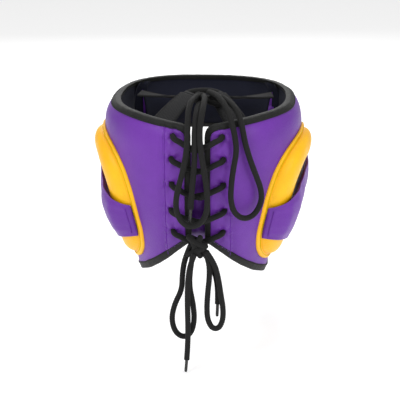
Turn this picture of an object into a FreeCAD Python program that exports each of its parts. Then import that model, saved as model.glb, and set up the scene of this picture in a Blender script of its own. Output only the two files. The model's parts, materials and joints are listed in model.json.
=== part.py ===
import FreeCAD, Part
import math
import os
from FreeCAD import Vector

# Boxing headgear, millimetres. +Z up, the wearer faces -Y, +X is the wearer's left.
# The origin is the middle of the head cavity.

# ---------------------------------------------------------------- driving sizes
RIM_Z = 85.0            # height of the top rim
RIM_BACK_Z = 75.0       # the rim dips this low behind the head
BROW_Z = 26.0           # lower edge of the forehead pad
BROW_STEP = 6.5         # the cheek starts this far below the forehead pad
NAPE_Z = -42.0          # lower edge at the nape
JAW_Z = -108.0          # lowest corner of the cheek
HEM_Z = -99.5           # the hem is level here below the ear
FORE_Y = -130.0         # past the face end of the pads
REAR_Y = 18.0           # behind this the edges are cut square to the back, before it square to the side
LACE_GAP = 7.7          # half the gap between the two lacing edges
TEMPLE_Y = -72.0        # the forehead pad meets the side pads here
TEMPLE_GAP = 0.4
SKIN = 1.6              # leather cover
LINER = 1.4
BINDING = 5.5           # width of the edge binding on each face
BINDING_PROUD = 0.8
PLAY = 0.2              # air between neighbouring soft layers
LACE_D = 5.2
LACE_REST = 2.2         # air under a lace where it crosses a binding
LACE_FALL = 10.0        # from an eyelet down to the crossing
LACE_SUNK = 7.0         # a lace starts this deep in its eyelet
EYELET_D = 5.8
EYELETS = [(24.0, 68.0), (25.5, 46.0), (25.5, 20.0), (26.5, -8.0), (25.0, -32.0)]   # left (x, z)
AGLET_D = 3.2
AGLET_LONG = 14.0
NAPE_KNOT = Vector(0.0, 106.5, -37.0)
NAPE_KNOT_D = 18.0
CROWN_KNOT = Vector(0.0, 43.5, 92.5)
CROWN_KNOT_D = 13.0

# Head form: height, half width, depth behind and depth in front of the outer leather, pad thickness
FORM = [
    (-125.0, 66.0, 58.0, 80.0, 12.0),
    (-97.0, 69.0, 68.0, 84.0, 13.0),
    (-65.0, 72.5, 81.0, 90.0, 14.0),
    (-43.0, 77.0, 90.0, 94.0, 15.0),
    (-10.0, 87.0, 99.0, 101.0, 17.0),
    (20.0, 94.0, 104.0, 106.0, 19.0),
    (45.0, 99.0, 104.5, 109.0, 21.0),
    (62.0, 101.0, 104.0, 109.5, 21.0),
    (78.0, 97.5, 100.5, 107.0, 16.0),
    (92.0, 86.0, 93.0, 98.0, 10.0),
]
BACK_ROUND = 2.2        # superellipse powers of the plan shape
FRONT_ROUND = 2.6
PLAN_POINTS = 18
FAR = 400.0             # larger than the part, for cutting prisms

# Ear guard, an oval in a plane square to EAR_YAW
EAR_YAW = 12.4
EAR_CENTRE = (-6.0, -11.5)
EAR_HALF = (62.0, 69.0)
EAR_TILT = -9.5         # the lower end leans to the face
EAR_ROUND = 2.6
WELT = 4.0              # the welt shows this wide round the tube
WELT_THICK = 2.4
TUBE_WIDE = 36.0
EAR_HOLE = -TUBE_WIDE   # the hole's edge, as growth of the welt's outline
HOLE_WALL = 1.4
TUBE_HIGH = 14.0
WING_THICK = 7.0

# Cheek pad
CHEEK_HIGH = 16.0
CHEEK_FORE = -92.0      # the raised pad ends here towards the face
CHEEK_REAR = -28.0
CHEEK_EDGE = 9.0        # the raised pad keeps this far inside the pad's own edge

# Lacing facings and tongue
FACING_WIDE = 21.0
FACING_THICK = 0.8
TONGUE_WIDE = 60.0
TONGUE_LOW = -48.0
TONGUE_LONG = 94.0
TONGUE_THICK = 4.5
TONGUE_SUNK = 2.5       # air between the lining and the tongue

# Crown straps
STRAP_THICK = 2.2
CHANNEL_SKIN = 1.6
CHANNEL_D = 9.0         # folded strap end that the crown lace runs through

# Chin strap
CHIN_RING_D = 3.0
CHIN_WIDE = 25.0
CHIN_LONG = 68.0
CHIN_THICK = 2.4
HOOK_THICK = 1.2
PAD_LONG = 40.0
CHIN_PLACE = Vector(42.0, -27.0, -93.5)     # the left ring's lower bar, which the strap turns on
CHIN_LEAN = 10.0
CHIN_DROP = 5.2         # the right half passes this far under the left one
RING_REACH = Vector(6.8, 0, 8.0)            # from the ring's lower bar to its upper bar
TAB_THICK = 1.8
TAB_HIGH = 18.0

NODES = {}
FORMS = {}


def show(name, shape):
    """Keep a finished sub-part under the name of its node."""
    NODES[name] = shape


def mirrored(shape):
    """The same piece for the other side of the head."""
    return shape.mirror(Vector(0, 0, 0), Vector(1, 0, 0))


def pair(name, left):
    """A left piece and its mirror image."""
    show(name + "_left", left)
    show(name + "_right", mirrored(left))


# ---------------------------------------------------------------- head form
def plan_point(angle, half_wide, back, front):
    """A point of the plan shape; angle 0 is the back, 90 degrees the wearer's left."""
    s, c = math.sin(angle), math.cos(angle)
    power, deep = (BACK_ROUND, back) if c > 0 else (FRONT_ROUND, front)
    r = (abs(s / half_wide) ** power + abs(c / deep) ** power) ** (-1 / power)
    return r * s, r * c


def ring_at(row, inset, pad_share):
    """Closed curve at one height, inset from the outer leather by a length and by a share of the pad."""
    z, half_wide, back, front, pad = row
    off = inset + pad_share * pad
    points = []
    for i in range(PLAN_POINTS):
        x, y = plan_point(2 * math.pi * i / PLAN_POINTS, half_wide - off, back - off, front - off)
        points.append(Vector(x, y, z))
    curve = Part.BSplineCurve()
    curve.interpolate(points, PeriodicFlag=True)
    return Part.Wire([curve.toShape()])


def form(inset=0.0, pad_share=0.0):
    """Solid head form. A negative inset stands proud of the outer leather."""
    key = (round(inset, 3), pad_share)
    if key not in FORMS:
        FORMS[key] = Part.makeLoft([ring_at(row, inset, pad_share) for row in FORM], True, False)
    return FORMS[key]


def layer(region, outer_inset, inner_inset, inner_share=0.0, outer_share=0.0):
    """What a region holds of the shell between two offsets of the head form."""
    return region.common(form(outer_inset, outer_share)).cut(form(inner_inset, inner_share))


# ---------------------------------------------------------------- outlines
def rounded(points, radii, closed=True):
    """Straight runs joined by tangent arcs. radii has one value for each point, 0 for a sharp corner."""
    n = len(points)
    starts, ends, arcs = [], [], []
    for i in range(n):
        p, r = points[i], radii[i]
        if r == 0 or (not closed and i in (0, n - 1)):
            starts.append(p)
            ends.append(p)
            arcs.append(None)
            continue
        before = (points[i - 1] - p).normalize()
        after = (points[(i + 1) % n] - p).normalize()
        half = before.getAngle(after) / 2
        reach = r / math.tan(half)
        middle = (before + after).normalize()
        top = p + middle * (r / math.sin(half) - r)
        starts.append(p + before * reach)
        ends.append(p + after * reach)
        arcs.append(top)
    edges = []
    for i in range(n):
        if arcs[i] is not None:
            edges.append(Part.Arc(starts[i], arcs[i], ends[i]).toShape())
        if i == n - 1 and not closed:
            break
        nxt = starts[(i + 1) % n]
        if (nxt - ends[i]).Length > 1e-6:
            edges.append(Part.LineSegment(ends[i], nxt).toShape())
    return Part.Wire(edges)


def side_outline(points, radii):
    """A wire in the plane x = 0 from (y, z) points."""
    return rounded([Vector(0, y, z) for y, z in points], radii)


def side_prism(wire):
    """Everything on the wearer's left whose side view is inside the wire."""
    return Part.Face(wire).extrude(Vector(FAR, 0, 0))


def left_of(x):
    """Everything on the wearer's left past x."""
    return Part.makeBox(FAR, 2 * FAR, 2 * FAR, Vector(x, -FAR, -FAR))


FACE_POINTS = [(-52.0, 60.0), (52.0, 60.0), (52.0, 12.0), (46.0, -25.0), (44.0, -60.0), (52.0, -140.0),
               (-52.0, -140.0), (-44.0, -60.0), (-46.0, -25.0), (-52.0, 12.0)]
FACE_RADII = [0, 0, 60, 60, 60, 0, 0, 60, 60, 60]


def back_outline(points, radii):
    """A wire in the plane y = REAR_Y from (x, z) points."""
    return rounded([Vector(x, REAR_Y, z) for x, z in points], radii)


def rear_outline(inset):
    """Back view of the left flap: lacing edge, dipping rim and the hem that falls to the jaw corner."""
    points = [
        (LACE_GAP + inset, RIM_BACK_Z + 2.5 - inset),
        (34.0, RIM_BACK_Z + 6.0 - inset),
        (62.0, RIM_Z - 0.8 - inset),
        (FAR, RIM_Z - inset),
        (FAR, HEM_Z + inset),
        (67.0, HEM_Z + inset),
        (57.0 + inset / 2, -89.0 + inset),
        (33.0 + inset / 2, -67.0 + inset),
        (17.0 + inset / 2, NAPE_Z - 9.0 + inset),
        (LACE_GAP + inset, NAPE_Z - 1.0 + inset),
    ]
    return back_outline(points, [11.0 - inset, 40, 60, 0, 0, 8, 30, 60, 30, 3])


def side_region(inset):
    """Side and back flap of the left half, inset from its edges but not from the temple seam."""
    points = [
        (TEMPLE_Y, RIM_Z - inset),
        (REAR_Y, RIM_Z - inset),
        (REAR_Y, HEM_Z + inset),
        (-62.0, JAW_Z + inset),
        (FORE_Y, JAW_Z + 2.0 + inset),
        (FORE_Y, BROW_Z - BROW_STEP),
        (TEMPLE_Y, BROW_Z - BROW_STEP),
    ]
    fore = side_prism(side_outline(points, [0] * len(points))).common(left_of(20.0))
    face = back_outline(FACE_POINTS, FACE_RADII)
    if inset:
        face = face.makeOffset2D(inset)
    fore = fore.cut(Part.Face(face).extrude(Vector(0, -FAR, 0)))
    rear = Part.Face(rear_outline(inset)).extrude(Vector(0, FAR, 0))
    return fore.fuse(rear)


def front_region(inset):
    """Forehead pad, both halves, inset from the rim and the brow only."""
    points = [
        Vector(-FAR, TEMPLE_Y - TEMPLE_GAP, RIM_Z - inset),
        Vector(-FAR, FORE_Y, RIM_Z - 1.0 - inset),
        Vector(-FAR, FORE_Y, BROW_Z + 4.0 + inset),
        Vector(-FAR, TEMPLE_Y - TEMPLE_GAP, BROW_Z - 6.0 + inset),
    ]
    return Part.Face(rounded(points, [0] * 4)).extrude(Vector(2 * FAR, 0, 0))


# ---------------------------------------------------------------- ear guard outline
def ear_point(angle, grow):
    """A point of the ear oval, grown outwards by a length, in its own plane."""
    s, c = math.sin(angle), math.cos(angle)
    wide, high = EAR_HALF[0] + grow, EAR_HALF[1] + grow
    r = (abs(c / wide) ** EAR_ROUND + abs(s / high) ** EAR_ROUND) ** (-1 / EAR_ROUND)
    tilt = math.radians(EAR_TILT)
    u, v = r * c, r * s
    along = EAR_CENTRE[0] + u * math.cos(tilt) - v * math.sin(tilt)
    up = EAR_CENTRE[1] + u * math.sin(tilt) + v * math.cos(tilt)
    yaw = math.radians(EAR_YAW)
    return Vector(-along * math.sin(yaw), along * math.cos(yaw), up)


def ear_prism(grow):
    """Everything square behind the ear oval."""
    points = [ear_point(2 * math.pi * i / PLAN_POINTS, grow) for i in range(PLAN_POINTS)]
    curve = Part.BSplineCurve()
    curve.interpolate(points, PeriodicFlag=True)
    yaw = math.radians(EAR_YAW)
    reach = Vector(math.cos(yaw), math.sin(yaw), 0) * FAR
    return Part.Face(Part.Wire([curve.toShape()])).extrude(reach)


# ---------------------------------------------------------------- padded shell
def eyelet_holes():
    """Holes through the flap for the back lace."""
    rods = []
    for x, z in EYELETS:
        rods.append(Part.makeCylinder(EYELET_D / 2, FAR, Vector(x, 0, z), Vector(0, 1, 0)))
    return Part.makeCompound(rods)


def make_sides():
    """Cover, foam and lining of each side, with the ear hole and the eyelets."""
    inner = side_region(BINDING + PLAY).cut(ear_prism(EAR_HOLE)).cut(eyelet_holes())
    pair("side_cover", layer(inner, 0, SKIN))
    pair("side_foam", layer(inner, SKIN + PLAY, -LINER - PLAY, 1.0))
    pair("side_lining", layer(inner, -LINER, 0, 1.0, 1.0))


def make_forehead():
    """Cover, foam and lining of the forehead pad."""
    inner = front_region(BINDING + PLAY)
    show("forehead_cover", layer(inner, 0, SKIN))
    show("forehead_foam", layer(inner, SKIN + PLAY, -LINER - PLAY, 1.0))
    show("forehead_lining", layer(inner, -LINER, 0, 1.0, 1.0))


def make_bindings():
    """The rolled leather that closes every edge of the pads."""
    edge = side_region(0).cut(side_region(BINDING))
    edge = layer(edge, -BINDING_PROUD, BINDING_PROUD, 1.0)
    front = Part.makeBox(FAR, FAR, FAR, Vector(0, -40.0 - FAR, -FAR + BROW_Z))
    upper = Part.makeBox(FAR, FAR, FAR, Vector(0, TEMPLE_Y - 1.0, BROW_Z + 10.0))
    lacing = Part.makeBox(LACE_GAP + BINDING, FAR, FAR, Vector(0, REAR_Y, NAPE_Z + BINDING))
    upper = upper.fuse(lacing)
    pair("rim_binding", largest(edge.common(upper)))
    pair("cheek_binding", largest(edge.common(front)))
    pair("hem_binding", largest(edge.cut(upper).cut(front)))
    forehead = front_region(0).cut(front_region(BINDING))
    forehead = layer(forehead, -BINDING_PROUD, BINDING_PROUD, 1.0)
    above = Part.makeBox(2 * FAR, FAR, FAR, Vector(-FAR, -FAR, (RIM_Z + BROW_Z) / 2))
    show("forehead_rim_binding", largest(forehead.common(above)))
    show("brow_binding", largest(forehead.cut(above)))


def largest(shape):
    """The one solid that counts when a cut leaves crumbs."""
    return max(shape.Solids, key=lambda s: s.Volume)


# ---------------------------------------------------------------- ear guards
def make_ear_guards():
    """Welt, padded tube, its foam and the pleated wall of the hole."""
    base = -WELT_THICK - 2 * PLAY
    deep = SKIN + PLAY
    welt_area = ear_prism(0).cut(ear_prism(EAR_HOLE))
    tube_area = ear_prism(-WELT).cut(ear_prism(EAR_HOLE))
    core_area = ear_prism(-WELT - SKIN).cut(ear_prism(EAR_HOLE + SKIN))
    foam_area = ear_prism(-WELT - deep).cut(ear_prism(EAR_HOLE + deep))
    wall_area = ear_prism(EAR_HOLE - PLAY).cut(ear_prism(EAR_HOLE - HOLE_WALL))
    tube = layer(tube_area, -TUBE_HIGH, base).cut(layer(core_area, -TUBE_HIGH + SKIN, base - SKIN))
    pair("ear_welt", largest(layer(welt_area, -WELT_THICK - PLAY, -PLAY)))
    pair("ear_ring_cover", largest(tube))
    pair("ear_ring_foam", largest(layer(foam_area, -TUBE_HIGH + deep, base - deep)))
    pair("ear_hole_wall", largest(layer(wall_area, -TUBE_HIGH + 2.0, 0, 1.0)))


# ---------------------------------------------------------------- cheek pads and wings
WING_POINTS = [(-60.0, 18.0), (20.0, 9.0), (60.0, -2.0), (130.0, -15.0), (130.0, -45.0), (66.0, -49.0),
               (30.0, -60.0), (-60.0, -84.0)]
WING_RADII = [0, 60, 60, 0, 0, 60, 60, 0]


def cheek_area(inset):
    """Where the raised pad lies in front of the ear ring."""
    fore = side_region(CHEEK_EDGE + inset)
    long = CHEEK_REAR - CHEEK_FORE - 2 * inset
    fore = fore.common(Part.makeBox(FAR, long, 2 * FAR, Vector(0, CHEEK_FORE + inset, -FAR)))
    low = Part.makeBox(FAR, FAR, FAR, Vector(0, -FAR / 2, BROW_Z - 8.0 - inset - FAR))
    return fore.common(low).cut(ear_prism(2 * PLAY + inset))


def make_cheeks():
    """Raised pad in front of the ear ring, and the wing that crosses the ring from it."""
    low, high = -PLAY, -CHEEK_HIGH
    deep = SKIN + PLAY
    pad = largest(layer(cheek_area(0), high, low))
    hollow = layer(cheek_area(SKIN), high + SKIN, low - SKIN)
    pair("cheek_cover", largest(pad.cut(hollow)))
    pair("cheek_foam", largest(layer(cheek_area(deep), high + deep, low - deep)))
    over = ear_prism(-WELT + 1.0).common(side_prism(side_outline(WING_POINTS, WING_RADII)))
    pair("cheek_wing", largest(layer(over, -TUBE_HIGH - PLAY - WING_THICK, -TUBE_HIGH - PLAY)))


# ---------------------------------------------------------------- facings, tongue
def make_facings():
    """Second leather along each lacing edge, with the eyelets through it."""
    area = Part.Face(rear_outline(BINDING + PLAY)).extrude(Vector(0, FAR, 0))
    area = area.cut(left_of(LACE_GAP + BINDING + FACING_WIDE)).cut(eyelet_holes())
    pair("lacing_facing", largest(layer(area, -FACING_THICK - PLAY / 2, -PLAY / 2)))


def make_tongue():
    """Soft pad that fills the lacing gap from inside the head cavity."""
    area = Part.makeBox(TONGUE_WIDE, FAR, TONGUE_LONG, Vector(-TONGUE_WIDE / 2, 0, TONGUE_LOW))
    show("tongue", largest(layer(area, TONGUE_SUNK, TONGUE_SUNK + TONGUE_THICK, 1.0, 1.0)))


# ---------------------------------------------------------------- crown straps
# Edges of a strap end: the two corners of its lower face
CROWN_WALL_REAR = (Vector(51, 66, 68), Vector(27, 80, 68))
CROWN_POINT = (Vector(23, 6, 86), Vector(7, 27, 86))
CROWN_WALL_TEMPLE = (Vector(72, -28, 76), Vector(69, -52, 76))


def ribbon(start, end, drop=0.0):
    """Flat strap between two edges."""
    thick = Vector(0, 0, STRAP_THICK)
    down = Vector(0, 0, -drop)
    wires = []
    for a, b in (start, end):
        wires.append(Part.makePolygon([a + down, b + down, b + down + thick, a + down + thick, a + down]))
    return Part.makeLoft(wires, True, True)


def make_crown_straps():
    """Each strap is a V: one arm to the back of the rim, one to the temple, a lace channel at its point."""
    pair("crown_front_strap", ribbon(CROWN_WALL_TEMPLE, CROWN_POINT, STRAP_THICK + PLAY))
    along = (CROWN_POINT[1] - CROWN_POINT[0]).normalize()
    aside = Vector(-along.y, along.x, 0) * (CHANNEL_D / 2 + PLAY)
    start = CROWN_POINT[0] + aside + along * CHANNEL_SKIN
    wide = (CROWN_POINT[1] - CROWN_POINT[0]).Length - 2 * CHANNEL_SKIN
    channel = Part.makeCylinder(CHANNEL_D / 2, wide, start, along)
    channel = channel.cut(Part.makeCylinder(CHANNEL_D / 2 - CHANNEL_SKIN, wide, start, along))
    pair("crown_rear_strap", Part.makeCompound([ribbon(CROWN_WALL_REAR, CROWN_POINT), channel]))


# ---------------------------------------------------------------- laces
def lace_tube(name, route):
    """Round lace along hand-placed points: straight runs joined by the largest tangent arcs."""
    points = [Vector(*p) for p in route]
    radii = [0.0]
    for i in range(1, len(points) - 1):
        back, ahead = points[i - 1] - points[i], points[i + 1] - points[i]
        half_turn = (math.pi - back.getAngle(ahead)) / 2
        radii.append(0.45 * min(back.Length, ahead.Length) / math.tan(half_turn))
    radii.append(0.0)
    path = rounded(points, radii, closed=False)
    first = points[1] - points[0]
    profile = Part.Wire([Part.Circle(points[0], first, LACE_D / 2).toShape()])
    tube = path.makePipeShell([profile], True, False)
    want = math.pi * LACE_D ** 2 / 4 * path.Length
    print(name, "length %.0f" % path.Length, "volume ratio %.3f" % (tube.Volume / want),
          "radii", [round(r, 1) for r in radii[1:-1]])
    return tube


def out(x, z, lift):
    """A point behind the head, lifted off the outer leather."""
    rows = FORM
    for low, high in zip(rows, rows[1:]):
        if low[0] <= z <= high[0]:
            share = (z - low[0]) / (high[0] - low[0])
            half_wide = low[1] + share * (high[1] - low[1])
            back = low[2] + share * (high[2] - low[2])
    y = back * (1 - abs(x / half_wide) ** BACK_ROUND) ** (1 / BACK_ROUND)
    return x, y + lift, z


def make_back_lace():
    """Crossings between the eyelets, one half on each side of the middle."""
    halves = []
    for x, z in EYELETS:
        start = Vector(*out(x, z, -LACE_SUNK))
        mouth = Vector(*out(x, z, LACE_D + SKIN))
        over = Vector(*out(LACE_GAP + BINDING - 1.2, z - LACE_FALL * 0.6, LACE_D / 2 + BINDING_PROUD + LACE_REST))
        middle = Vector(LACE_D / 4, over.y + 0.6, z - LACE_FALL)
        route = rounded([start, mouth, over, middle], [0, LACE_D * 0.75, 12.0, 0], closed=False)
        profile = Part.Wire([Part.Circle(start, mouth - start, LACE_D / 2).toShape()])
        halves.append(route.makePipeShell([profile], True, False))
    pair("back_lace", Part.makeCompound(halves))


BOW_LOOP_LEFT = [
    (6.0, 104.0, -40.0), (12.0, 103.0, -54.0), (15.0, 101.0, -72.0), (15.5, 99.0, -90.0), (23.0, 98.0, -106.0),
    (26.5, 98.0, -122.0), (23.0, 98.0, -137.0), (14.0, 98.0, -143.0), (6.0, 98.5, -137.0), (3.0, 99.0, -122.0),
    (4.5, 100.0, -104.0), (8.0, 102.0, -86.0), (7.0, 104.0, -66.0), (4.0, 106.0, -49.0),
]
BOW_LOOP_RIGHT = [
    (-6.0, 108.0, -42.0), (-11.5, 107.5, -54.0), (-12.5, 106.0, -71.0), (-10.5, 104.5, -90.0),
    (-9.5, 104.0, -108.0), (-10.5, 103.5, -121.0), (-15.0, 103.5, -129.5), (-21.5, 103.5, -129.5),
    (-25.5, 103.5, -121.0), (-26.0, 104.0, -108.0), (-23.5, 105.0, -92.0), (-21.0, 106.5, -74.0), (-17.0, 108.5, -57.0),
    (-9.0, 110.0, -45.0),
]
LACE_END_LEFT = [
    (2.0, 112.5, -47.0), (6.5, 113.0, -58.0), (9.0, 111.0, -78.0), (9.5, 108.5, -102.0), (9.0, 107.0, -128.0),
    (9.5, 106.5, -150.0), (10.5, 106.5, -163.0),
]
LACE_END_RIGHT = [
    (-3.0, 101.0, -46.0), (-11.0, 99.5, -56.0), (-17.5, 98.0, -72.0), (-20.5, 97.5, -90.0), (-20.0, 97.5, -105.0),
]
CROWN_LONG = [
    (-10.0, 40.0, 93.5), (-21.0, 52.0, 96.5), (-29.5, 71.0, 95.5), (-37.5, 88.0, 91.5), (-42.5, 99.0, 80.0),
    (-45.5, 102.5, 64.0), (-50.5, 102.0, 47.0), (-56.5, 98.0, 30.0), (-62.0, 92.0, 13.0), (-62.0, 89.0, -1.0),
    (-55.0, 92.5, -13.0), (-45.0, 98.5, -15.0), (-36.0, 104.0, -7.0), (-32.5, 108.0, 7.0), (-33.0, 109.5, 23.0),
    (-35.0, 109.5, 40.0), (-38.0, 107.5, 56.0), (-36.0, 106.0, 72.0), (-31.5, 100.0, 87.0), (-25.0, 84.0, 97.0),
    (-18.5, 67.0, 100.0), (-13.0, 52.0, 99.5), (-8.0, 42.5, 98.5),
]
CROWN_SHORT = [
    (-3.0, 46.0, 95.5), (-5.0, 63.0, 98.0), (-5.5, 84.0, 98.0), (-5.0, 103.0, 94.0), (-3.0, 113.5, 81.0),
    (-3.5, 117.5, 64.0), (-6.5, 119.0, 45.0), (-9.5, 119.0, 27.0), (-11.0, 117.5, 9.0), (-9.0, 115.5, -7.0),
    (-2.0, 114.5, -16.5), (7.5, 114.5, -18.5), (15.5, 115.0, -12.5), (20.0, 116.5, 0.0), (19.0, 118.0, 15.0),
    (14.5, 119.0, 32.0), (10.5, 118.5, 49.0), (8.5, 116.5, 67.0), (8.5, 110.5, 82.0), (9.0, 98.0, 92.0),
    (8.0, 81.0, 97.0), (5.5, 62.0, 97.0), (3.0, 46.0, 95.5),
]
CROWN_END = [
    (0.0, 48.0, 88.5), (1.5, 67.0, 90.5), (1.5, 87.0, 91.0), (1.5, 106.0, 87.0), (2.0, 115.0, 73.0),
    (1.5, 117.3, 55.0), (2.5, 117.3, 36.0), (4.5, 116.0, 17.0), (5.5, 114.0, 0.0),
]
CROWN_TIE_LEFT = [(3.4, 31.0, 89.0), (3.2, 35.0, 90.0), (2.5, 39.0, 91.2)]
CROWN_TIE_RIGHT = [(-3.4, 31.0, 89.0), (-3.2, 35.0, 90.0), (-2.5, 39.0, 91.2)]
CROWN_TIE_FRONT = [(20.0, 0.5, 86.0), (12.0, -7.0, 87.5), (0.0, -10.0, 88.0), (-12.0, -7.0, 87.5),
                   (-20.0, 0.5, 86.0)]


def make_free_laces():
    """Bow loops and ends that hang from the two knots, and the crown lace between the strap points."""
    routes = {
        "bow_loop_left": BOW_LOOP_LEFT,
        "bow_loop_right": BOW_LOOP_RIGHT,
        "lace_end_left": LACE_END_LEFT,
        "lace_end_right": LACE_END_RIGHT,
        "crown_loop_long": CROWN_LONG,
        "crown_loop_short": CROWN_SHORT,
        "crown_lace_end": CROWN_END,
    }
    for name, route in routes.items():
        show(name, lace_tube(name, route))
    held = (CROWN_TIE_LEFT, CROWN_TIE_RIGHT, CROWN_TIE_FRONT)
    ties = [lace_tube("crown_tie", route) for route in held]
    show("crown_tie", Part.makeCompound(ties))
    tips = []
    for route in (LACE_END_LEFT, LACE_END_RIGHT):
        tip, before = Vector(*route[-1]), Vector(*route[-2])
        tips.append(Part.makeCylinder(AGLET_D / 2, AGLET_LONG, tip, tip - before))
    show("aglets", Part.makeCompound(tips))


def make_knots():
    """Closed lumps where the laces are tied."""
    nape = Part.makeSphere(NAPE_KNOT_D / 2, Vector(0, 0, 0))
    squash = FreeCAD.Matrix()
    squash.scale(1.0, 0.62, 1.15)
    nape = nape.transformGeometry(squash)
    nape.translate(NAPE_KNOT)
    show("nape_knot", nape)
    crown = Part.makeSphere(CROWN_KNOT_D / 2, Vector(0, 0, 0))
    crown.translate(CROWN_KNOT)
    show("crown_knot", crown)


# ---------------------------------------------------------------- chin strap
def chin_half(place, pad_x):
    """Strap with its folded end round the ring bar, leaning up inside the cheek, and its pad."""
    half = CHIN_WIDE / 2
    bore = CHIN_RING_D / 2 + PLAY / 2
    barrel = Part.makeCylinder(bore + CHIN_THICK, CHIN_WIDE, Vector(0, -half, 0), Vector(0, 1, 0))
    bar_hole = Part.makeCylinder(bore, CHIN_WIDE, Vector(0, -half, 0), Vector(0, 1, 0))
    strap = Part.makeBox(CHIN_THICK, CHIN_WIDE, CHIN_LONG, Vector(-CHIN_THICK / 2, -half, bore))
    strap = strap.fuse(barrel).cut(bar_hole).removeSplitter()
    pad = Part.makeBox(HOOK_THICK, CHIN_WIDE - 3.0, PAD_LONG, Vector(pad_x, 1.5 - half, CHIN_LONG - PAD_LONG))
    for piece in (strap, pad):
        piece.rotate(Vector(0, 0, 0), Vector(0, 1, 0), CHIN_LEAN)
        piece.translate(place)
    return strap, pad


def chin_ring(place):
    """Rectangular wire ring: its lower bar is the strap's pivot, its upper bar hangs in the tab."""
    half = CHIN_WIDE / 2 + CHIN_RING_D / 2 + PLAY
    across = Vector(0, half, 0)
    bars = []
    for base in (place, place + RING_REACH):
        bars.append(Part.makeCylinder(CHIN_RING_D / 2, 2 * half, base - across, Vector(0, 1, 0)))
    for side in (-1, 1):
        start = place + across * side
        bars.append(Part.makeCylinder(CHIN_RING_D / 2, RING_REACH.Length, start, RING_REACH))
        for corner in (start, start + RING_REACH):
            bars.append(Part.makeSphere(CHIN_RING_D / 2, corner))
    return bars[0].multiFuse(bars[1:])


def chin_tab(place):
    """Leather tab on the lining, folded round the ring's upper bar."""
    bar = place + RING_REACH
    wide = CHIN_WIDE - 5.0
    bore = CHIN_RING_D / 2 + PLAY / 2
    start = bar - Vector(0, wide / 2, 0)
    fold = Part.makeCylinder(bore + TAB_THICK, wide, start, Vector(0, 1, 0))
    plate = Part.makeBox(TAB_THICK, wide, TAB_HIGH, start + Vector(bore, 0, 0))
    return plate.fuse(fold).cut(Part.makeCylinder(bore, wide, start, Vector(0, 1, 0))).removeSplitter()


def make_chin_strap():
    """Each half turns on a wire ring that a tab holds inside the jaw corner."""
    low = CHIN_PLACE - Vector(0, 0, CHIN_DROP)
    strap, pad = chin_half(CHIN_PLACE, -CHIN_THICK / 2 - HOOK_THICK)
    show("chin_strap_left", strap)
    show("chin_hook_pad", pad)
    strap, pad = chin_half(low, CHIN_THICK / 2)
    show("chin_strap_right", mirrored(strap))
    show("chin_loop_pad", mirrored(pad))
    show("chin_ring_left", chin_ring(CHIN_PLACE))
    show("chin_ring_right", mirrored(chin_ring(low)))
    show("chin_tab_left", chin_tab(CHIN_PLACE))
    show("chin_tab_right", mirrored(chin_tab(low)))


def build():
    """Make every sub-part and write one file for each."""
    make_forehead()
    make_sides()
    make_bindings()
    make_ear_guards()
    make_cheeks()
    make_facings()
    make_tongue()
    make_crown_straps()
    make_back_lace()
    make_free_laces()
    make_knots()
    make_chin_strap()
    os.makedirs("parts", exist_ok=True)
    for name, shape in NODES.items():
        shape.exportStep("parts/" + name + ".step")
        solids = shape.Solids
        print(name, len(solids), round(shape.Volume), shape.isValid())


build()
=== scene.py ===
"""Boxing headgear: the looks of every piece, built round the fixed frame.

Metres, +Z up, the wearer faces -Y and +X is the wearer's left. A place on the padded shell is given by the
angle round the head (0 is the nape, 90 degrees the wearer's left ear), the height, and the lift off the
leather.
"""
import json
import logging
import math
from collections.abc import Callable, Sequence
from dataclasses import dataclass, field
from enum import Enum

import bpy
import numpy as np
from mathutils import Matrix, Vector, noise

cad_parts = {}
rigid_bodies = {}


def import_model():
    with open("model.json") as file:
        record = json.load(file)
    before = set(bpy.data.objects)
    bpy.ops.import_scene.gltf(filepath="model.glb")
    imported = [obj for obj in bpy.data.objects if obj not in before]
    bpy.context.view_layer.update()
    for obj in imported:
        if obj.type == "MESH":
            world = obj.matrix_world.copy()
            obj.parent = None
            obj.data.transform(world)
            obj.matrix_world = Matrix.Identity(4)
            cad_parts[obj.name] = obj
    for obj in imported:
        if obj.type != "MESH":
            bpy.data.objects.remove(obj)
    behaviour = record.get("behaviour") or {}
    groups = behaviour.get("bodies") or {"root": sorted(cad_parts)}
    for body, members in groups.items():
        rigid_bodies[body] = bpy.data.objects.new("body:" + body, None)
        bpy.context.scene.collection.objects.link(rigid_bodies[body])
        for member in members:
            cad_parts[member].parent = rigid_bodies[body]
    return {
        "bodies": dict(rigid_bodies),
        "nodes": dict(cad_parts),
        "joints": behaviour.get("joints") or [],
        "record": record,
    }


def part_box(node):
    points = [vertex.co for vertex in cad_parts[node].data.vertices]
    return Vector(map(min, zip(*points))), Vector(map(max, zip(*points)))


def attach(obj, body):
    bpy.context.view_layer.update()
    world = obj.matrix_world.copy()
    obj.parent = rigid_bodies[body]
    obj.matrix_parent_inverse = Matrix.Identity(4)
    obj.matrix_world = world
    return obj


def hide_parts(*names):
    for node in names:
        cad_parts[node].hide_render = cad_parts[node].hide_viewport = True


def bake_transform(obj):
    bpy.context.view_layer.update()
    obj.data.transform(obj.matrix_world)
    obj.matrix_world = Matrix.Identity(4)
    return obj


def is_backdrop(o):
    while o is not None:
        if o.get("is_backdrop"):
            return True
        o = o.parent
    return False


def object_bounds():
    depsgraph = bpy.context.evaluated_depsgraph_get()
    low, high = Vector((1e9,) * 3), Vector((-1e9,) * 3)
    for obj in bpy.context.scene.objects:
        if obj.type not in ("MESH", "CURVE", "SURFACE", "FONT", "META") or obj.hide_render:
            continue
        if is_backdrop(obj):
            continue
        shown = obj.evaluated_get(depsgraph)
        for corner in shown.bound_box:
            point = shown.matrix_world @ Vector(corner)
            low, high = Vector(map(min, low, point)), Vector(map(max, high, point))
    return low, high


LOG = logging.getLogger("headgear")
Array = np.ndarray
Span = tuple[float, float]
MM = 0.001

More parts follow.
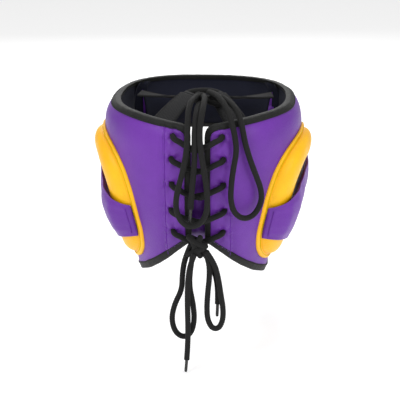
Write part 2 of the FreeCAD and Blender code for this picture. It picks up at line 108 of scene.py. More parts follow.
ROOT = "forehead"
GRIP = 1e-9                 # keeps divisions away from zero


class Side(Enum):
    """The two sides of the head."""

    LEFT = "left"
    RIGHT = "right"

    @property
    def body(self) -> str:
        """Name of the frame's body on this side."""
        return self.value + "_side"

    @property
    def strap_body(self) -> str:
        """Name of the body of this side's chin strap half."""
        return self.value + "_chin_strap"

    def named(self, piece: str) -> str:
        """Name of a piece on this side."""
        return piece + "_" + self.value


# ------------------------------------------------------------------ meshes
@dataclass
class Shape:
    """Mesh data before it becomes a piece."""

    points: Array
    faces: list[tuple[int, ...]]
    uvs: list[tuple[Span, ...]]

    def mirrored(self) -> "Shape":
        """Return the same form for the other side of the head."""
        faces = [tuple(reversed(face)) for face in self.faces]
        uvs = [tuple(reversed(corners)) for corners in self.uvs]
        return Shape(self.points * np.array([-1.0, 1.0, 1.0]), faces, uvs)

    def on(self, side: Side) -> "Shape":
        """Return the form, which is made for the left, on the given side."""
        return self if side is Side.LEFT else self.mirrored()

    def moved(self, offset: Sequence[float]) -> "Shape":
        """Return the form shifted by an offset."""
        return Shape(self.points + np.array(offset), self.faces, self.uvs)


def joined(shapes: Sequence[Shape]) -> Shape:
    """Put several forms in one mesh.

    Args:
        shapes: the forms, which stay separate shells.

    Returns:
        One form that holds them all.
    """
    points, faces, uvs, base = [], [], [], 0
    for shape in shapes:
        points.append(shape.points)
        faces += [tuple(i + base for i in face) for face in shape.faces]
        uvs += shape.uvs
        base += len(shape.points)
    return Shape(np.concatenate(points), faces, uvs)


def lattice(grid: Array, wrap_rows: bool = False, wrap_columns: bool = True, caps: bool = False) -> Shape:
    """Make a form from a grid of points.

    Args:
        grid: rows x columns x 3 points; a column runs round a section.
        wrap_rows: the last row joins the first.
        wrap_columns: each section is a closed loop.
        caps: close the first and the last section.

    Returns:
        The form, with its weave coordinates in metres along and round it.
    """
    rows, columns = grid.shape[:2]
    along = np.concatenate([[0.0], np.cumsum(np.linalg.norm(np.diff(grid.mean(axis=1), axis=0), axis=1))])
    along = np.append(along, along[-1] + np.linalg.norm(grid[0].mean(axis=0) - grid[-1].mean(axis=0)))
    middle = grid[rows // 2]
    round_it = np.concatenate([[0.0], np.cumsum(np.linalg.norm(np.diff(middle, axis=0), axis=1))])
    round_it = np.append(round_it, round_it[-1] + np.linalg.norm(middle[0] - middle[-1]))
    faces, uvs = [], []
    for i in range(rows if wrap_rows else rows - 1):
        for j in range(columns if wrap_columns else columns - 1):
            i2, j2 = (i + 1) % rows, (j + 1) % columns
            faces.append((i * columns + j, i2 * columns + j, i2 * columns + j2, i * columns + j2))
            low, high = along[i], along[i + 1]
            near, far = round_it[j], round_it[j + 1]
            uvs.append(((low, near), (high, near), (high, far), (low, far)))
    points = grid.reshape(-1, 3)
    if caps:
        ends = np.array([grid[0].mean(axis=0), grid[-1].mean(axis=0)])
        first, last = len(points), len(points) + 1
        points = np.concatenate([points, ends])
        for j in range(columns):
            j2 = (j + 1) % columns
            faces.append((first, j, j2))
            uvs.append(((0.0, 0.0), (0.0, round_it[j]), (0.0, round_it[j + 1])))
            faces.append((last, (rows - 1) * columns + j2, (rows - 1) * columns + j))
            uvs.append(((along[-1], 0.0), (along[-1], round_it[j + 1]), (along[-1], round_it[j])))
    return Shape(points, faces, uvs)


def unit(vectors: Array) -> Array:
    """Return the vectors at length one."""
    return vectors / np.maximum(np.linalg.norm(vectors, axis=-1, keepdims=True), GRIP)


def directions(path: Array, closed: bool = False) -> Array:
    """Return the direction of travel at each point of a path."""
    if closed:
        return unit(np.roll(path, -1, axis=0) - np.roll(path, 1, axis=0))
    return unit(np.gradient(path, axis=0))


def spaced(path: Array, step: float) -> Array:
    """Return points along an open path at even spacing.

    Args:
        path: the points of the path.
        step: the spacing wanted; it is fitted to the length.

    Returns:
        The new points.
    """
    travel = np.concatenate([[0.0], np.cumsum(np.linalg.norm(np.diff(path, axis=0), axis=1))])
    marks = np.linspace(0.0, travel[-1], max(2, int(round(travel[-1] / step)) + 1))
    return np.stack([np.interp(marks, travel, path[:, k]) for k in range(path.shape[1])], axis=1)


def frames(path: Array) -> tuple[Array, Array]:
    """Carry a pair of cross directions along a path without twisting.

    Args:
        path: points along the centreline.

    Returns:
        Two unit directions square to the path at each point.
    """
    travel = directions(path)
    seed = np.array([0.0, 0.0, 1.0]) if abs(travel[0][2]) < 0.8 else np.array([1.0, 0.0, 0.0])
    across = [unit(np.cross(travel[0], seed))]
    for heading in travel[1:]:
        carried = across[-1] - heading * float(np.dot(across[-1], heading))
        across.append(unit(carried))
    across = np.array(across)
    return across, np.cross(travel, across)


def swept(path: Array, profile: Array, across: Array, up: Array, closed: bool = False) -> Shape:
    """Carry a closed section along a path.

    Args:
        path: points along the way.
        profile: section points as (across, up), one section for all or one for each path point.
        across: the section's first direction at each path point.
        up: the section's second direction at each path point.
        closed: the path is a loop.

    Returns:
        The form, capped at both ends if the path is open.
    """
    section = np.broadcast_to(profile, (len(path),) + profile.shape[-2:])
    grid = path[:, None] + section[..., :1] * across[:, None] + section[..., 1:] * up[:, None]
    return lattice(grid, wrap_rows=closed, caps=not closed)


def flat_section(wide: float, thick: float, corner: float = 0.4, count: int = 24) -> Array:
    """Return the section of a flat strap with rounded edges.

    Args:
        wide: full width.
        thick: full thickness.
        corner: power of the corners, 1 for an ellipse and near 0 for a box.
        count: points round the section.

    Returns:
        The (across, up) points.
    """
    turn = np.linspace(0.0, 2 * math.pi, count, endpoint=False)
    c, s = np.cos(turn), np.sin(turn)
    across = wide / 2 * np.sign(c) * abs(c) ** corner
    up = thick / 2 * np.sign(s) * abs(s) ** corner
    return np.stack([across, up], axis=1)


def round_section(radius: float, count: int = 12) -> Array:
    """Return a round section of the given radius."""
    return flat_section(2 * radius, 2 * radius, 1.0, count)


def curved(points: Sequence[Sequence[float]], step: float, closed: bool = False) -> Array:
    """Read evenly spaced points from the smooth NURBS line of some control points.

    Args:
        points: control points in metres.
        step: spacing of the points read.
        closed: the line is a loop.

    Returns:
        The points along the line.
    """
    data = bpy.data.curves.new("line", "CURVE")
    data.dimensions = "3D"
    data.resolution_u = 16
    spline = data.splines.new("NURBS")
    spline.points.add(len(points) - 1)
    for knot, place in zip(spline.points, points):
        knot.co = (*place, 1.0)
    spline.order_u = 3
    spline.use_endpoint_u = not closed
    spline.use_cyclic_u = closed
    holder = bpy.data.objects.new("line", data)
    mesh = bpy.data.meshes.new_from_object(holder)
    line = np.array([vertex.co[:] for vertex in mesh.vertices])
    bpy.data.meshes.remove(mesh)
    bpy.data.objects.remove(holder)
    bpy.data.curves.remove(data)
    if closed:
        line = np.concatenate([line, line[:1]])
    line = spaced(line, step)
    return line[:-1] if closed else line


def piece(name: str, shape: Shape, finish: bpy.types.Material, body: str, slot: str,
          replaces: Sequence[str] = (), smooth: bool = True) -> bpy.types.Object:
    """Make an object from a form and hang it on a body.

    Args:
        name: the piece's name.
        shape: its mesh data.
        finish: its material.
        body: the body it moves with.
        slot: the record's material slot; not used.
        replaces: nodes of the frame that it stands for.
        smooth: shade it smooth.

    Returns:
        The new object.
    """
    name = name + "_finished" if replaces else name
    mesh = bpy.data.meshes.new(name)
    mesh.from_pydata(shape.points.tolist(), [], shape.faces)
    layer = mesh.uv_layers.new(name="weave")
    layer.data.foreach_set("uv", [number for corners in shape.uvs for pair in corners for number in pair])
    mesh.validate()
    if smooth:
        mesh.shade_smooth()
    else:
        mesh.shade_flat()
    mesh.materials.append(finish)
    thing = bpy.data.objects.new(name, mesh)
    bpy.context.scene.collection.objects.link(thing)
    if replaces:
        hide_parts(*replaces)
    if body:
        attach(thing, body)
    LOG.info("%s: %d faces on %s", name, len(shape.faces), body or "two bodies")
    return thing


# ------------------------------------------------------------------ materials
class Wire:
    """A number that leaves a socket, ready for arithmetic."""

    def __init__(self, graph: "Graph", socket: bpy.types.NodeSocket) -> None:
        """Wrap a socket of a graph."""
        self.graph = graph
        self.socket = socket

    def _do(self, operation: str, *others: "Wire | float") -> "Wire":
        """Add a Math node with this and the other values."""
        values = {0: self, **{place + 1: value for place, value in enumerate(others)}}
        return self.graph.add("ShaderNodeMath", {"operation": operation}, values)

    def __add__(self, other: "Wire | float") -> "Wire":
        """Return the sum."""
        return self._do("ADD", other)

    __radd__ = __add__

    def __mul__(self, other: "Wire | float") -> "Wire":
        """Return the product."""
        return self._do("MULTIPLY", other)

    __rmul__ = __mul__

    def __sub__(self, other: "Wire | float") -> "Wire":
        """Return the difference."""
        return self._do("SUBTRACT", other)

    def __rsub__(self, other: float) -> "Wire":
        """Return the difference the other way round."""
        return self._do("MULTIPLY_ADD", -1.0, other)

    def wave(self) -> "Wire":
        """Return the sine of the value."""
        return self._do("SINE")

    def size(self) -> "Wire":
        """Return the value without its sign."""
        return self._do("ABSOLUTE")

    def larger(self, other: "Wire | float") -> "Wire":
        """Return the larger of two values."""
        return self._do("MAXIMUM", other)

    def between(self, low: float, high: float) -> "Wire":
        """Return 0 below low, 1 above high and a smooth step between them."""
        settings = {"interpolation_type": "SMOOTHSTEP"}
        values = {"Value": self, "From Min": low, "From Max": high}
        return self.graph.add("ShaderNodeMapRange", settings, values)


Tone = tuple[float, ...] | Wire     # a colour, or a wire that carries one


class Graph:
    """The node tree of one material."""

    def __init__(self, name: str) -> None:
        """Start a material that holds only its shader."""
        self.material = bpy.data.materials.new(name)
        self.material.use_nodes = True
        self.tree = self.material.node_tree
        self.shader = self.tree.nodes["Principled BSDF"]

    def add(self, kind: str, settings: dict[str, object] | None = None,
            values: dict[str | int, object] | None = None, output: str | int = 0) -> Wire:
        """Add any node.

        Args:
            kind: the node's type.
            settings: properties that are set first.
            values: numbers or wires for its input sockets.
            output: the output socket wanted.

        Returns:
            A wire from that output.
        """
        node = self.tree.nodes.new(kind)
        for name, value in (settings or {}).items():
            setattr(node, name, value)
        for key, value in (values or {}).items():
            self.join(node.inputs[key], value)
        return Wire(self, node.outputs[output])

    def join(self, socket: bpy.types.NodeSocket, value: object) -> None:
        """Link a wire to a socket, or set its number."""
        if isinstance(value, Wire):
            self.tree.links.new(value.socket, socket)
        else:
            socket.default_value = value

    def set(self, **values: object) -> None:
        """Set or link sockets of the shader; an underscore stands for a space."""
        for name, value in values.items():
            self.join(self.shader.inputs[name.replace("_", " ")], value)

    def place(self) -> Wire:
        """Return the position in the piece's own frame."""
        return self.add("ShaderNodeTexCoord", output="Object")

    def weave(self) -> tuple[Wire, Wire]:
        """Return the distances along and across the cloth, in metres."""
        where = self.add("ShaderNodeUVMap", {"uv_map": "weave"})
        parts = self.add("ShaderNodeSeparateXYZ", None, {0: where})
        return parts, Wire(self, parts.socket.node.outputs[1])

    def noise(self, scale: float, detail: float = 3.0, roughness: float = 0.5) -> Wire:
        """Return soft noise, about 0.5 on average, with grains per metre."""
        values = {"Vector": self.place(), "Scale": scale, "Detail": detail, "Roughness": roughness}
        return self.add("ShaderNodeTexNoise", None, values)

    def cells(self, scale: float, feature: str = "DISTANCE_TO_EDGE") -> Wire:
        """Return a cell pattern with cells per metre."""
        values = {"Vector": self.place(), "Scale": scale}
        return self.add("ShaderNodeTexVoronoi", {"feature": feature}, values)

    def mixed(self, share: Wire | float, first: Tone, second: Tone) -> Wire:
        """Return a colour between two colours."""
        node = self.add("ShaderNodeMix", {"data_type": "RGBA"}, {0: share}, 2).socket.node
        for socket, value in ((node.inputs[6], first), (node.inputs[7], second)):
            self.join(socket, value if isinstance(value, Wire) else (*value, 1.0))
        return Wire(self, node.outputs[2])

    def relief(self, height: Wire, depth: float) -> None:
        """Feed a height in metres' share of depth to the shader's normal."""
        bump = {"Height": height, "Distance": depth, "Strength": 1.0}
        self.set(Normal=self.add("ShaderNodeBump", None, bump))


Colour = tuple[float, float, float]


def shade(colour: Colour, factor: float) -> Colour:
    """Return a colour made lighter or darker."""
    return tuple(min(1.0, channel * factor) for channel in colour)


@dataclass(frozen=True)
class Leather:
    """Coated leather with a fine pebble grain."""

    name: str
    colour: Colour
    deep: Colour
    grain: float = 900.0        # grain cells per metre
    depth: float = 0.00012
    gloss: float = 0.42         # roughness of the finish
    coat: float = 0.08
    shine: float = 0.32         # strength of the plain reflection

    def build(self) -> bpy.types.Material:
        """Return the material."""
        graph = Graph(self.name)
        pebble = graph.cells(self.grain).between(0.0, 0.16)
        fine = graph.noise(2600.0, 2.0)
        broad = graph.noise(14.0, 4.0, 0.6)
        creases = graph.noise(120.0, 5.0, 0.65)
        worn = graph.noise(38.0, 6.0, 0.7).between(0.62, 0.8)
        tone = graph.mixed(broad.between(0.3, 0.7), self.deep, self.colour)
        tone = graph.mixed((1.0 - pebble) * 0.3, tone, shade(self.deep, 0.7))
        tone = graph.mixed(worn * 0.18, tone, shade(self.colour, 1.35))
        graph.set(Base_Color=tone)
        graph.set(Roughness=self.gloss + (broad - 0.5) * 0.18 + (1.0 - pebble) * 0.12 + worn * 0.08)
        graph.set(Coat_Weight=self.coat, Coat_Roughness=0.3, Specular_IOR_Level=self.shine)
        graph.relief(pebble * 0.6 + fine * 0.25 + creases * 1.2, self.depth)
        return graph.material


@dataclass(frozen=True)
class Cloth:
    """Plain woven cloth or webbing, over and under in squares."""

    name: str
    colour: Colour
    pitch: tuple[float, float]      # thread spacing along and across, metres
    depth: float = 0.0002
    sheen: float = 0.03

    def build(self) -> bpy.types.Material:
        """Return the material."""
        graph = Graph(self.name)
        along, across = graph.weave()
        warp = (along * (math.pi / self.pitch[0])).wave()
        weft = (across * (math.pi / self.pitch[1])).wave()
        checks = (warp * weft) * 0.5 + 0.5
        threads = warp.size().larger(weft.size())
        fuzz = graph.noise(3200.0, 2.0)
        broad = graph.noise(30.0, 4.0)
        tone = graph.mixed(checks * 0.6 + fuzz * 0.3, shade(self.colour, 0.55), shade(self.colour, 1.7))
        tone = graph.mixed(broad.between(0.5, 0.8) * 0.35, tone, shade(self.colour, 2.4))
        graph.set(Base_Color=tone, Roughness=0.78 + fuzz * 0.18, Sheen_Weight=self.sheen, Sheen_Roughness=0.5,
                  Specular_IOR_Level=0.12)
        graph.relief(checks * 0.6 + threads * 0.4 + fuzz * 0.3, self.depth)
        return graph.material


@dataclass(frozen=True)
class Braid:
    """Round braided lace; its strands are in the mesh, and this adds the yarns."""

    name: str
    colour: Colour
    yarn: float = 0.0011

    def build(self) -> bpy.types.Material:
        """Return the material."""
        graph = Graph(self.name)
        along, across = graph.weave()
        turn = math.pi / self.yarn
        rising = (along * turn + across * turn).wave()
        falling = (along * turn - across * turn).wave()
        strands = rising.size().larger(falling.size())
        fuzz = graph.noise(3800.0, 2.0)
        tone = graph.mixed(strands * 0.6 + fuzz * 0.4, shade(self.colour, 0.4), shade(self.colour, 2.0))
        graph.set(Base_Color=tone, Roughness=0.7 + fuzz * 0.2, Sheen_Weight=0.03, Sheen_Roughness=0.4,
                  Specular_IOR_Level=0.18)
        graph.relief(strands + fuzz * 0.4, 0.0002)
        return graph.material


@dataclass(frozen=True)
class Fuzz:
    """Hook and loop tape: short dense pile."""

    name: str
    colour: Colour
    pile: float = 1400.0

    def build(self) -> bpy.types.Material:
        """Return the material."""
        graph = Graph(self.name)
        loops = graph.cells(self.pile, "F1")
        broad = graph.noise(160.0, 4.0)
        tone = graph.mixed(loops * 0.6 + broad * 0.4, shade(self.colour, 0.5), shade(self.colour, 2.2))
        graph.set(Base_Color=tone, Roughness=0.9 - loops * 0.1, Sheen_Weight=0.5, Sheen_Roughness=0.6)
        graph.relief(1.0 - loops, 0.0006)
        return graph.material


@dataclass(frozen=True)
class Metal:
    """Plated steel wire with fine drawing marks."""

    name: str
    colour: Colour

    def build(self) -> bpy.types.Material:
        """Return the material."""
        graph = Graph(self.name)
        marks = graph.noise(900.0, 5.0, 0.7)
        smudge = graph.noise(60.0, 3.0)
        tone = graph.mixed(smudge * 0.5, self.colour, shade(self.colour, 0.75))
        graph.set(Base_Color=tone, Metallic=1.0, Roughness=0.16 + smudge * 0.16 + marks * 0.06)
        graph.relief(marks, 0.00003)
        return graph.material


@dataclass(frozen=True)
class Plastic:
    """Moulded lace tip with faint crimp lines."""

    name: str
    colour: Colour

    def build(self) -> bpy.types.Material:
        """Return the material."""
        graph = Graph(self.name)
        along, _ = graph.weave()
        rings = (along * (2 * math.pi / 0.0016)).wave()
        scuffs = graph.noise(500.0, 5.0, 0.7).between(0.55, 0.75)
        graph.set(Base_Color=graph.mixed(scuffs * 0.5, self.colour, shade(self.colour, 3.0)))
        graph.set(Roughness=0.25 + scuffs * 0.25)
        graph.relief(rings * 0.3 + scuffs * 0.2, 0.0001)
        return graph.material


class Finishes:
    """Every finish of the headgear, made once."""

    def __init__(self) -> None:
        """Build all the materials."""
        self.purple = Leather("purple_leather", (0.155, 0.027, 0.37), (0.12, 0.019, 0.30)).build()
        self.yellow = Leather("yellow_leather", (1.0, 0.56, 0.0), (0.95, 0.46, 0.0), 1000.0,
                              0.0001, 0.4, 0.1).build()
        # Darker copy of the yellow leather for the ear hole's wall: painted shade for the shade inside the
        # hole, not a different leather
        self.yellow_shaded = Leather("yellow_leather_pleats", (0.86, 0.40, 0.0), (0.66, 0.27, 0.0),
                                   1000.0).build()
        self.edging = Leather("binding_leather", (0.012, 0.0125, 0.0115), (0.007, 0.0075, 0.007), 1100.0,
                              0.00012, 0.5, 0.0, 0.22).build()
        self.lining = Cloth("lining_cloth", (0.010, 0.011, 0.02), (0.0011, 0.0011)).build()
        self.webbing = Cloth("webbing", (0.014, 0.014, 0.015), (0.0018, 0.0024), 0.0004).build()
        self.lace = Braid("lace_braid", (0.008, 0.008, 0.008)).build()
        self.thread_dark = Braid("black_thread", (0.012, 0.012, 0.012), 0.0004).build()
        self.thread_purple = Braid("purple_thread", (0.10, 0.02, 0.24), 0.0004).build()
        self.thread_yellow = Braid("yellow_thread", (0.75, 0.36, 0.0), 0.0004).build()
        self.pile = Fuzz("hook_and_loop", (0.012, 0.012, 0.013)).build()
        self.steel = Metal("plated_steel", (0.72, 0.72, 0.74)).build()
        self.tip = Plastic("lace_tip", (0.008, 0.008, 0.008)).build()


# ------------------------------------------------------------------ the padded shell's form
def degrees(*angles: float) -> Array:
    """Return angles given in degrees as radians."""
    return np.radians(np.array(angles))


@dataclass(frozen=True)
class HeadForm:
    """Outer surface of the padded shell, as a superellipse in plan at every height.

    Each row is height, half width, depth behind, depth in front and pad thickness, in millimetres.
    """

    rows: tuple[tuple[float, float, float, float, float], ...] = (
        (-125.0, 66.0, 58.0, 80.0, 12.0),
        (-97.0, 69.0, 68.0, 84.0, 13.0),
        (-65.0, 72.5, 81.0, 90.0, 14.0),
        (-43.0, 77.0, 90.0, 94.0, 15.0),
        (-10.0, 87.0, 99.0, 101.0, 17.0),
        (20.0, 94.0, 104.0, 106.0, 19.0),
        (45.0, 99.0, 104.5, 109.0, 21.0),
        (62.0, 101.0, 104.0, 109.5, 21.0),
        (78.0, 97.5, 100.5, 107.0, 16.0),
        (92.0, 86.0, 93.0, 98.0, 10.0),
    )
    back_round: float = 2.2
    front_round: float = 2.6

    def sizes(self, z: Array) -> list[Array]:
        """Return half width, depth behind, depth in front and pad thickness at each height."""
        table = np.array(self.rows) * MM
        heights = table[:, 0]
        slot = np.clip(np.searchsorted(heights, z) - 1, 0, len(heights) - 2)
        gap = heights[slot + 1] - heights[slot]
        t = np.clip((z - heights[slot]) / gap, 0.0, 1.0)
        found = []
        for column in table.T[1:]:
            slope = np.gradient(column, heights)
            a, b = column[slot], column[slot + 1]
            rise = slope[slot] * gap * t * (1 - t) ** 2 - slope[slot + 1] * gap * t ** 2 * (1 - t)
            found.append(a + (b - a) * t ** 2 * (3 - 2 * t) + rise)
        return found

    def radius(self, angle: Array, z: Array, lift: Array | float = 0.0) -> Array:
        """Return the distance from the head's axis.

        Args:
            angle: angle round the head.
            z: height.
            lift: distance off the outer leather.

        Returns:
            The radius at each place.
        """
        half, back, front, _ = self.sizes(z)
        c, s = np.cos(angle), np.sin(angle)
        rear = c > 0
        power = np.where(rear, self.back_round, self.front_round)
        deep = np.where(rear, back, front) + lift
        return (abs(s / (half + lift)) ** power + abs(c / deep) ** power) ** (-1 / power)

    def point(self, angle: Array, z: Array, lift: Array | float = 0.0) -> Array:
        """Return points of the shell, as radius does."""
        r = self.radius(angle, z, lift)
        return np.stack([r * np.sin(angle), r * np.cos(angle), z + 0 * r], axis=-1)

    def thickness(self, z: Array) -> Array:
        """Return the pad's thickness at each height."""
        return self.sizes(z)[3]

    def outward(self, angle: Array, z: Array) -> Array:
        """Return unit directions square to the shell."""
        turn, rise = 0.01, 0.5 * MM
        round_it = self.point(angle + turn, z) - self.point(angle - turn, z)
        up_it = self.point(angle, z + rise) - self.point(angle, z - rise)
        return unit(np.cross(up_it, round_it))

    def cast(self, start: Array, heading: Array, lift: Array | float) -> Array:
        """Move points level along one heading until they lie at a lift.

        Args:
            start: points inside the head.
            heading: the level unit direction.
            lift: the lift wanted.

        Returns:
            The points on the shell.
        """
        low, high = np.zeros(start.shape[:-1]), np.full(start.shape[:-1], 0.3)
        for _ in range(30):
            middle = (low + high) / 2
            place = start + heading * middle[..., None]
            reach = np.hypot(place[..., 0], place[..., 1])
            angle = np.arctan2(place[..., 0], place[..., 1])
            inside = reach < self.radius(angle, place[..., 2], lift)
            low, high = np.where(inside, middle, low), np.where(inside, high, middle)
        return start + heading * low[..., None]

    def seen_from_behind(self, x: float, z: float) -> tuple[float, float]:
        """Return the angle and height of a place given by its back view, in millimetres."""
        half, back, _, _ = (float(size) for size in self.sizes(np.array(z * MM)))
        share = min(abs(x) * MM / half, 1.0)
        y = back * (1 - share ** self.back_round) ** (1 / self.back_round)
        return math.atan2(x * MM, y), z * MM

    def seen_from_front(self, x: float, z: float) -> tuple[float, float]:
        """Return the angle and height of a place given by its front view, in millimetres."""
        half, _, front, _ = (float(size) for size in self.sizes(np.array(z * MM)))
        y = -front * (1 - min(abs(x) * MM / half, 1.0) ** self.front_round) ** (1 / self.front_round)
        return math.atan2(x * MM, y), z * MM

    def seen_from_side(self, y: float, z: float) -> tuple[float, float]:
        """Return the angle and height of a place given by its side view, in millimetres."""
        half, back, front, _ = (float(size) for size in self.sizes(np.array(z * MM)))
        deep, power = (back, self.back_round) if y > 0 else (front, self.front_round)
        x = half * (1 - min(abs(y) * MM / deep, 1.0) ** power) ** (1 / power)
        return math.atan2(x, y * MM), z * MM


FORM = HeadForm()
PLAN = 0.1                  # metres of shell for one radian, when an outline is drawn flat


def outline(corners: Sequence[tuple[float, float]], radii: Sequence[float]) -> Array:
    """Round the corners of a run drawn as (angle, height).

    Args:
        corners: the corners of the open run.
        radii: how far before and after each corner its curve reaches, in millimetres.

    Returns:
        Close points along the run.
    """
    flat = np.array(corners) * np.array([PLAN, 1.0])
    line = [flat[0]]
    for before, corner, after, reach in zip(flat, flat[1:], flat[2:], radii[1:-1]):
        back, ahead = before - corner, after - corner
        start = corner + unit(back) * min(reach * MM, 0.48 * float(np.linalg.norm(back)))
        end = corner + unit(ahead) * min(reach * MM, 0.48 * float(np.linalg.norm(ahead)))
        for t in np.linspace(0.0, 1.0, 9):
            line.append((1 - t) ** 2 * start + 2 * t * (1 - t) * corner + t * t * end)
    line.append(flat[-1])
    return spaced(np.array(line), 1.2 * MM) / np.array([PLAN, 1.0])


class Region:
    """A patch of the shell inside a closed outline."""

    def __init__(self, line: Array) -> None:
        """Keep the outline, given as (angle, height) points."""
        self.line = line
        self.place = FORM.point(line[:, 0], line[:, 1])

    def depth(self, angle: Array, z: Array) -> Array:
        """Return how far inside the outline each place is; outside it is negative."""
        flat_angle, flat_z = angle.ravel(), z.ravel()
        place = FORM.point(flat_angle, flat_z)
        nearest = np.full(len(place), 1.0)
        for mark in range(0, len(self.place), 64):
            chunk = self.place[mark:mark + 64]
            nearest = np.minimum(nearest, np.linalg.norm(place[:, None] - chunk[None], axis=2).min(axis=1))
        inside = np.zeros(len(place), bool)
        ends = np.roll(self.line, -1, axis=0)
        for (a0, z0), (a1, z1) in zip(self.line, ends):
            if z0 == z1:
                continue
            spans = (z0 > flat_z) != (z1 > flat_z)
            inside ^= spans & (flat_angle < (a1 - a0) * (flat_z - z0) / (z1 - z0) + a0)
        return np.where(inside, nearest, -nearest).reshape(angle.shape)


Depth = Callable[[Array, Array], Array]
Field = Callable[[Array, Array, Array], Array]


def patch(angles: Span, heights: Span, cell: float, depth: Depth, outer: Field, inner: Field) -> Shape:
    """Make a closed pad over part of the shell.

    Args:
        angles: lowest and highest angle searched.
        heights: lowest and highest height searched.
        cell: size of a face.
        depth: how far inside the patch a place is; the patch ends where it is 0.
        outer: lift of the outer face from angle, height and depth.
        inner: lift of the inner face in the same way.

    Returns:
        The closed form.
    """
    columns = int((angles[1] - angles[0]) * PLAN / cell)
    rows = int((heights[1] - heights[0]) / cell)
    angle, z = np.meshgrid(np.linspace(*angles, columns), np.linspace(*heights, rows), indexing="ij")
    deep = depth(angle, z)
    slope = np.stack(np.gradient(deep, angle[:, 0], z[0]), axis=-1) / np.array([PLAN, 1.0])
    shift = -deep[..., None] * slope / np.maximum((slope ** 2).sum(axis=-1, keepdims=True), GRIP)
    near = abs(deep) < 0.8 * cell
    angle = np.where(near, angle + np.clip(shift[..., 0], -cell, cell) / PLAN, angle)
    z = np.where(near, z + np.clip(shift[..., 1], -cell, cell), z)
    kept = near | (deep > 0)
    whole = kept[:-1, :-1] & kept[1:, :-1] & kept[1:, 1:] & kept[:-1, 1:]
    inside = np.maximum(np.where(near, 0.0, deep), 0.0)
    top = FORM.point(angle, z, outer(angle, z, inside))
    bottom = FORM.point(angle, z, inner(angle, z, inside))
    used = np.zeros(kept.shape, bool)
    for i, j in ((0, 0), (1, 0), (1, 1), (0, 1)):
        used[i:i + whole.shape[0], j:j + whole.shape[1]] |= whole
    index = np.full(kept.shape, -1)
    index[used] = np.arange(used.sum())
    count = int(used.sum())
    flat = np.stack([angle * PLAN, z], axis=-1)[used]
    faces, edges = [], {}
    for i, j in zip(*np.nonzero(whole)):
        corners = (index[i, j], index[i, j + 1], index[i + 1, j + 1], index[i + 1, j])
        faces.append(tuple(int(c) for c in corners))
        for a, b in zip(corners, corners[1:] + corners[:1]):
            edges[(int(a), int(b))] = True
    rim = [(a, b) for a, b in edges if (b, a) not in edges]
    under = [tuple(c + count for c in reversed(face)) for face in faces]
    walls = [(b, a, a + count, b + count) for a, b in rim]
    faces = faces + under + walls
    uvs = [tuple((float(flat[c % count][0]), float(flat[c % count][1])) for c in face) for face in faces]
    return Shape(np.concatenate([top[used], bottom[used]]), faces, uvs)


def ripple(place: Array, size: float, seed: float) -> Array:
    """Return soft noise between -1 and 1 at each place.

    Args:
        place: points, n x 3.
        size: width of one swelling.
        seed: picks one of many patterns.

    Returns:
        One value for each point.
    """
    flat = place.reshape(-1, 3) / size + seed
    values = [noise.noise(Vector(point)) for point in flat]
    return np.array(values).reshape(place.shape[:-1])


def step_up(value: Array, start: float, end: float) -> Array:
    """Return a smooth step from 0 at start to 1 at end."""
    t = np.clip((value - start) / (end - start), 0.0, 1.0)
    return t * t * (3 - 2 * t)


# ------------------------------------------------------------------ trims that follow an edge
@dataclass(frozen=True)
class Stitch:
    """Lockstitch seen from one side."""

    long: float = 2.7 * MM
    pitch: float = 3.6 * MM
    thread: float = 0.42 * MM

    def along(self, path: Array, outward: Array) -> Shape:
        """Lay stitches end to end along a path.

        Args:
            path: points on the leather.
            outward: directions square to the leather at those points.

        Returns:
            All the stitches in one form.
        """
        marks = spaced(np.concatenate([path, outward], axis=1), self.pitch)
        places, normals = marks[:, :3], unit(marks[:, 3:])
        heading = directions(places)
        bend = np.linspace(-1.0, 1.0, 7)
        section = round_section(1.0, 6)
        made = []
        for place, normal, ahead in zip(places, normals, heading):
            side = np.cross(normal, ahead)
            spine = place + ahead * (bend * self.long / 2)[:, None]
            spine = spine - normal * (bend ** 4 * 1.3 * self.thread)[:, None]
            girth = self.thread * np.sqrt(1.02 - bend ** 2)[:, None, None] ** 0.5
            made.append(swept(spine, section * girth, np.tile(side, (7, 1)), np.tile(normal, (7, 1))))
        return joined(made)


@dataclass(frozen=True)
class Edge:
    """The pinched edge of a pad: how the leather falls to it, and how thick it is there."""

    drop: float = 3.0 * MM
    reach: float = 7.5 * MM
    thick: float = 2.6 * MM
    swell: float = 16.0 * MM

    def outer(self, deep: Array) -> Array:
        """Return the lift of the outer leather at a distance from the edge."""
        return -self.drop * np.exp(-np.maximum(deep, 0.0) / self.reach)

    def inner(self, deep: Array, full: Array) -> Array:
        """Return the lift of the pad's inner face.

        Args:
            deep: distance from the edge.
            full: the pad's full thickness there.

        Returns:
            The lift, which is negative.
        """
        share = 1.0 - np.exp(-np.maximum(deep, 0.0) / self.swell)
        return -(self.drop + self.thick) * (1 - share) - full * share


EDGE = Edge()


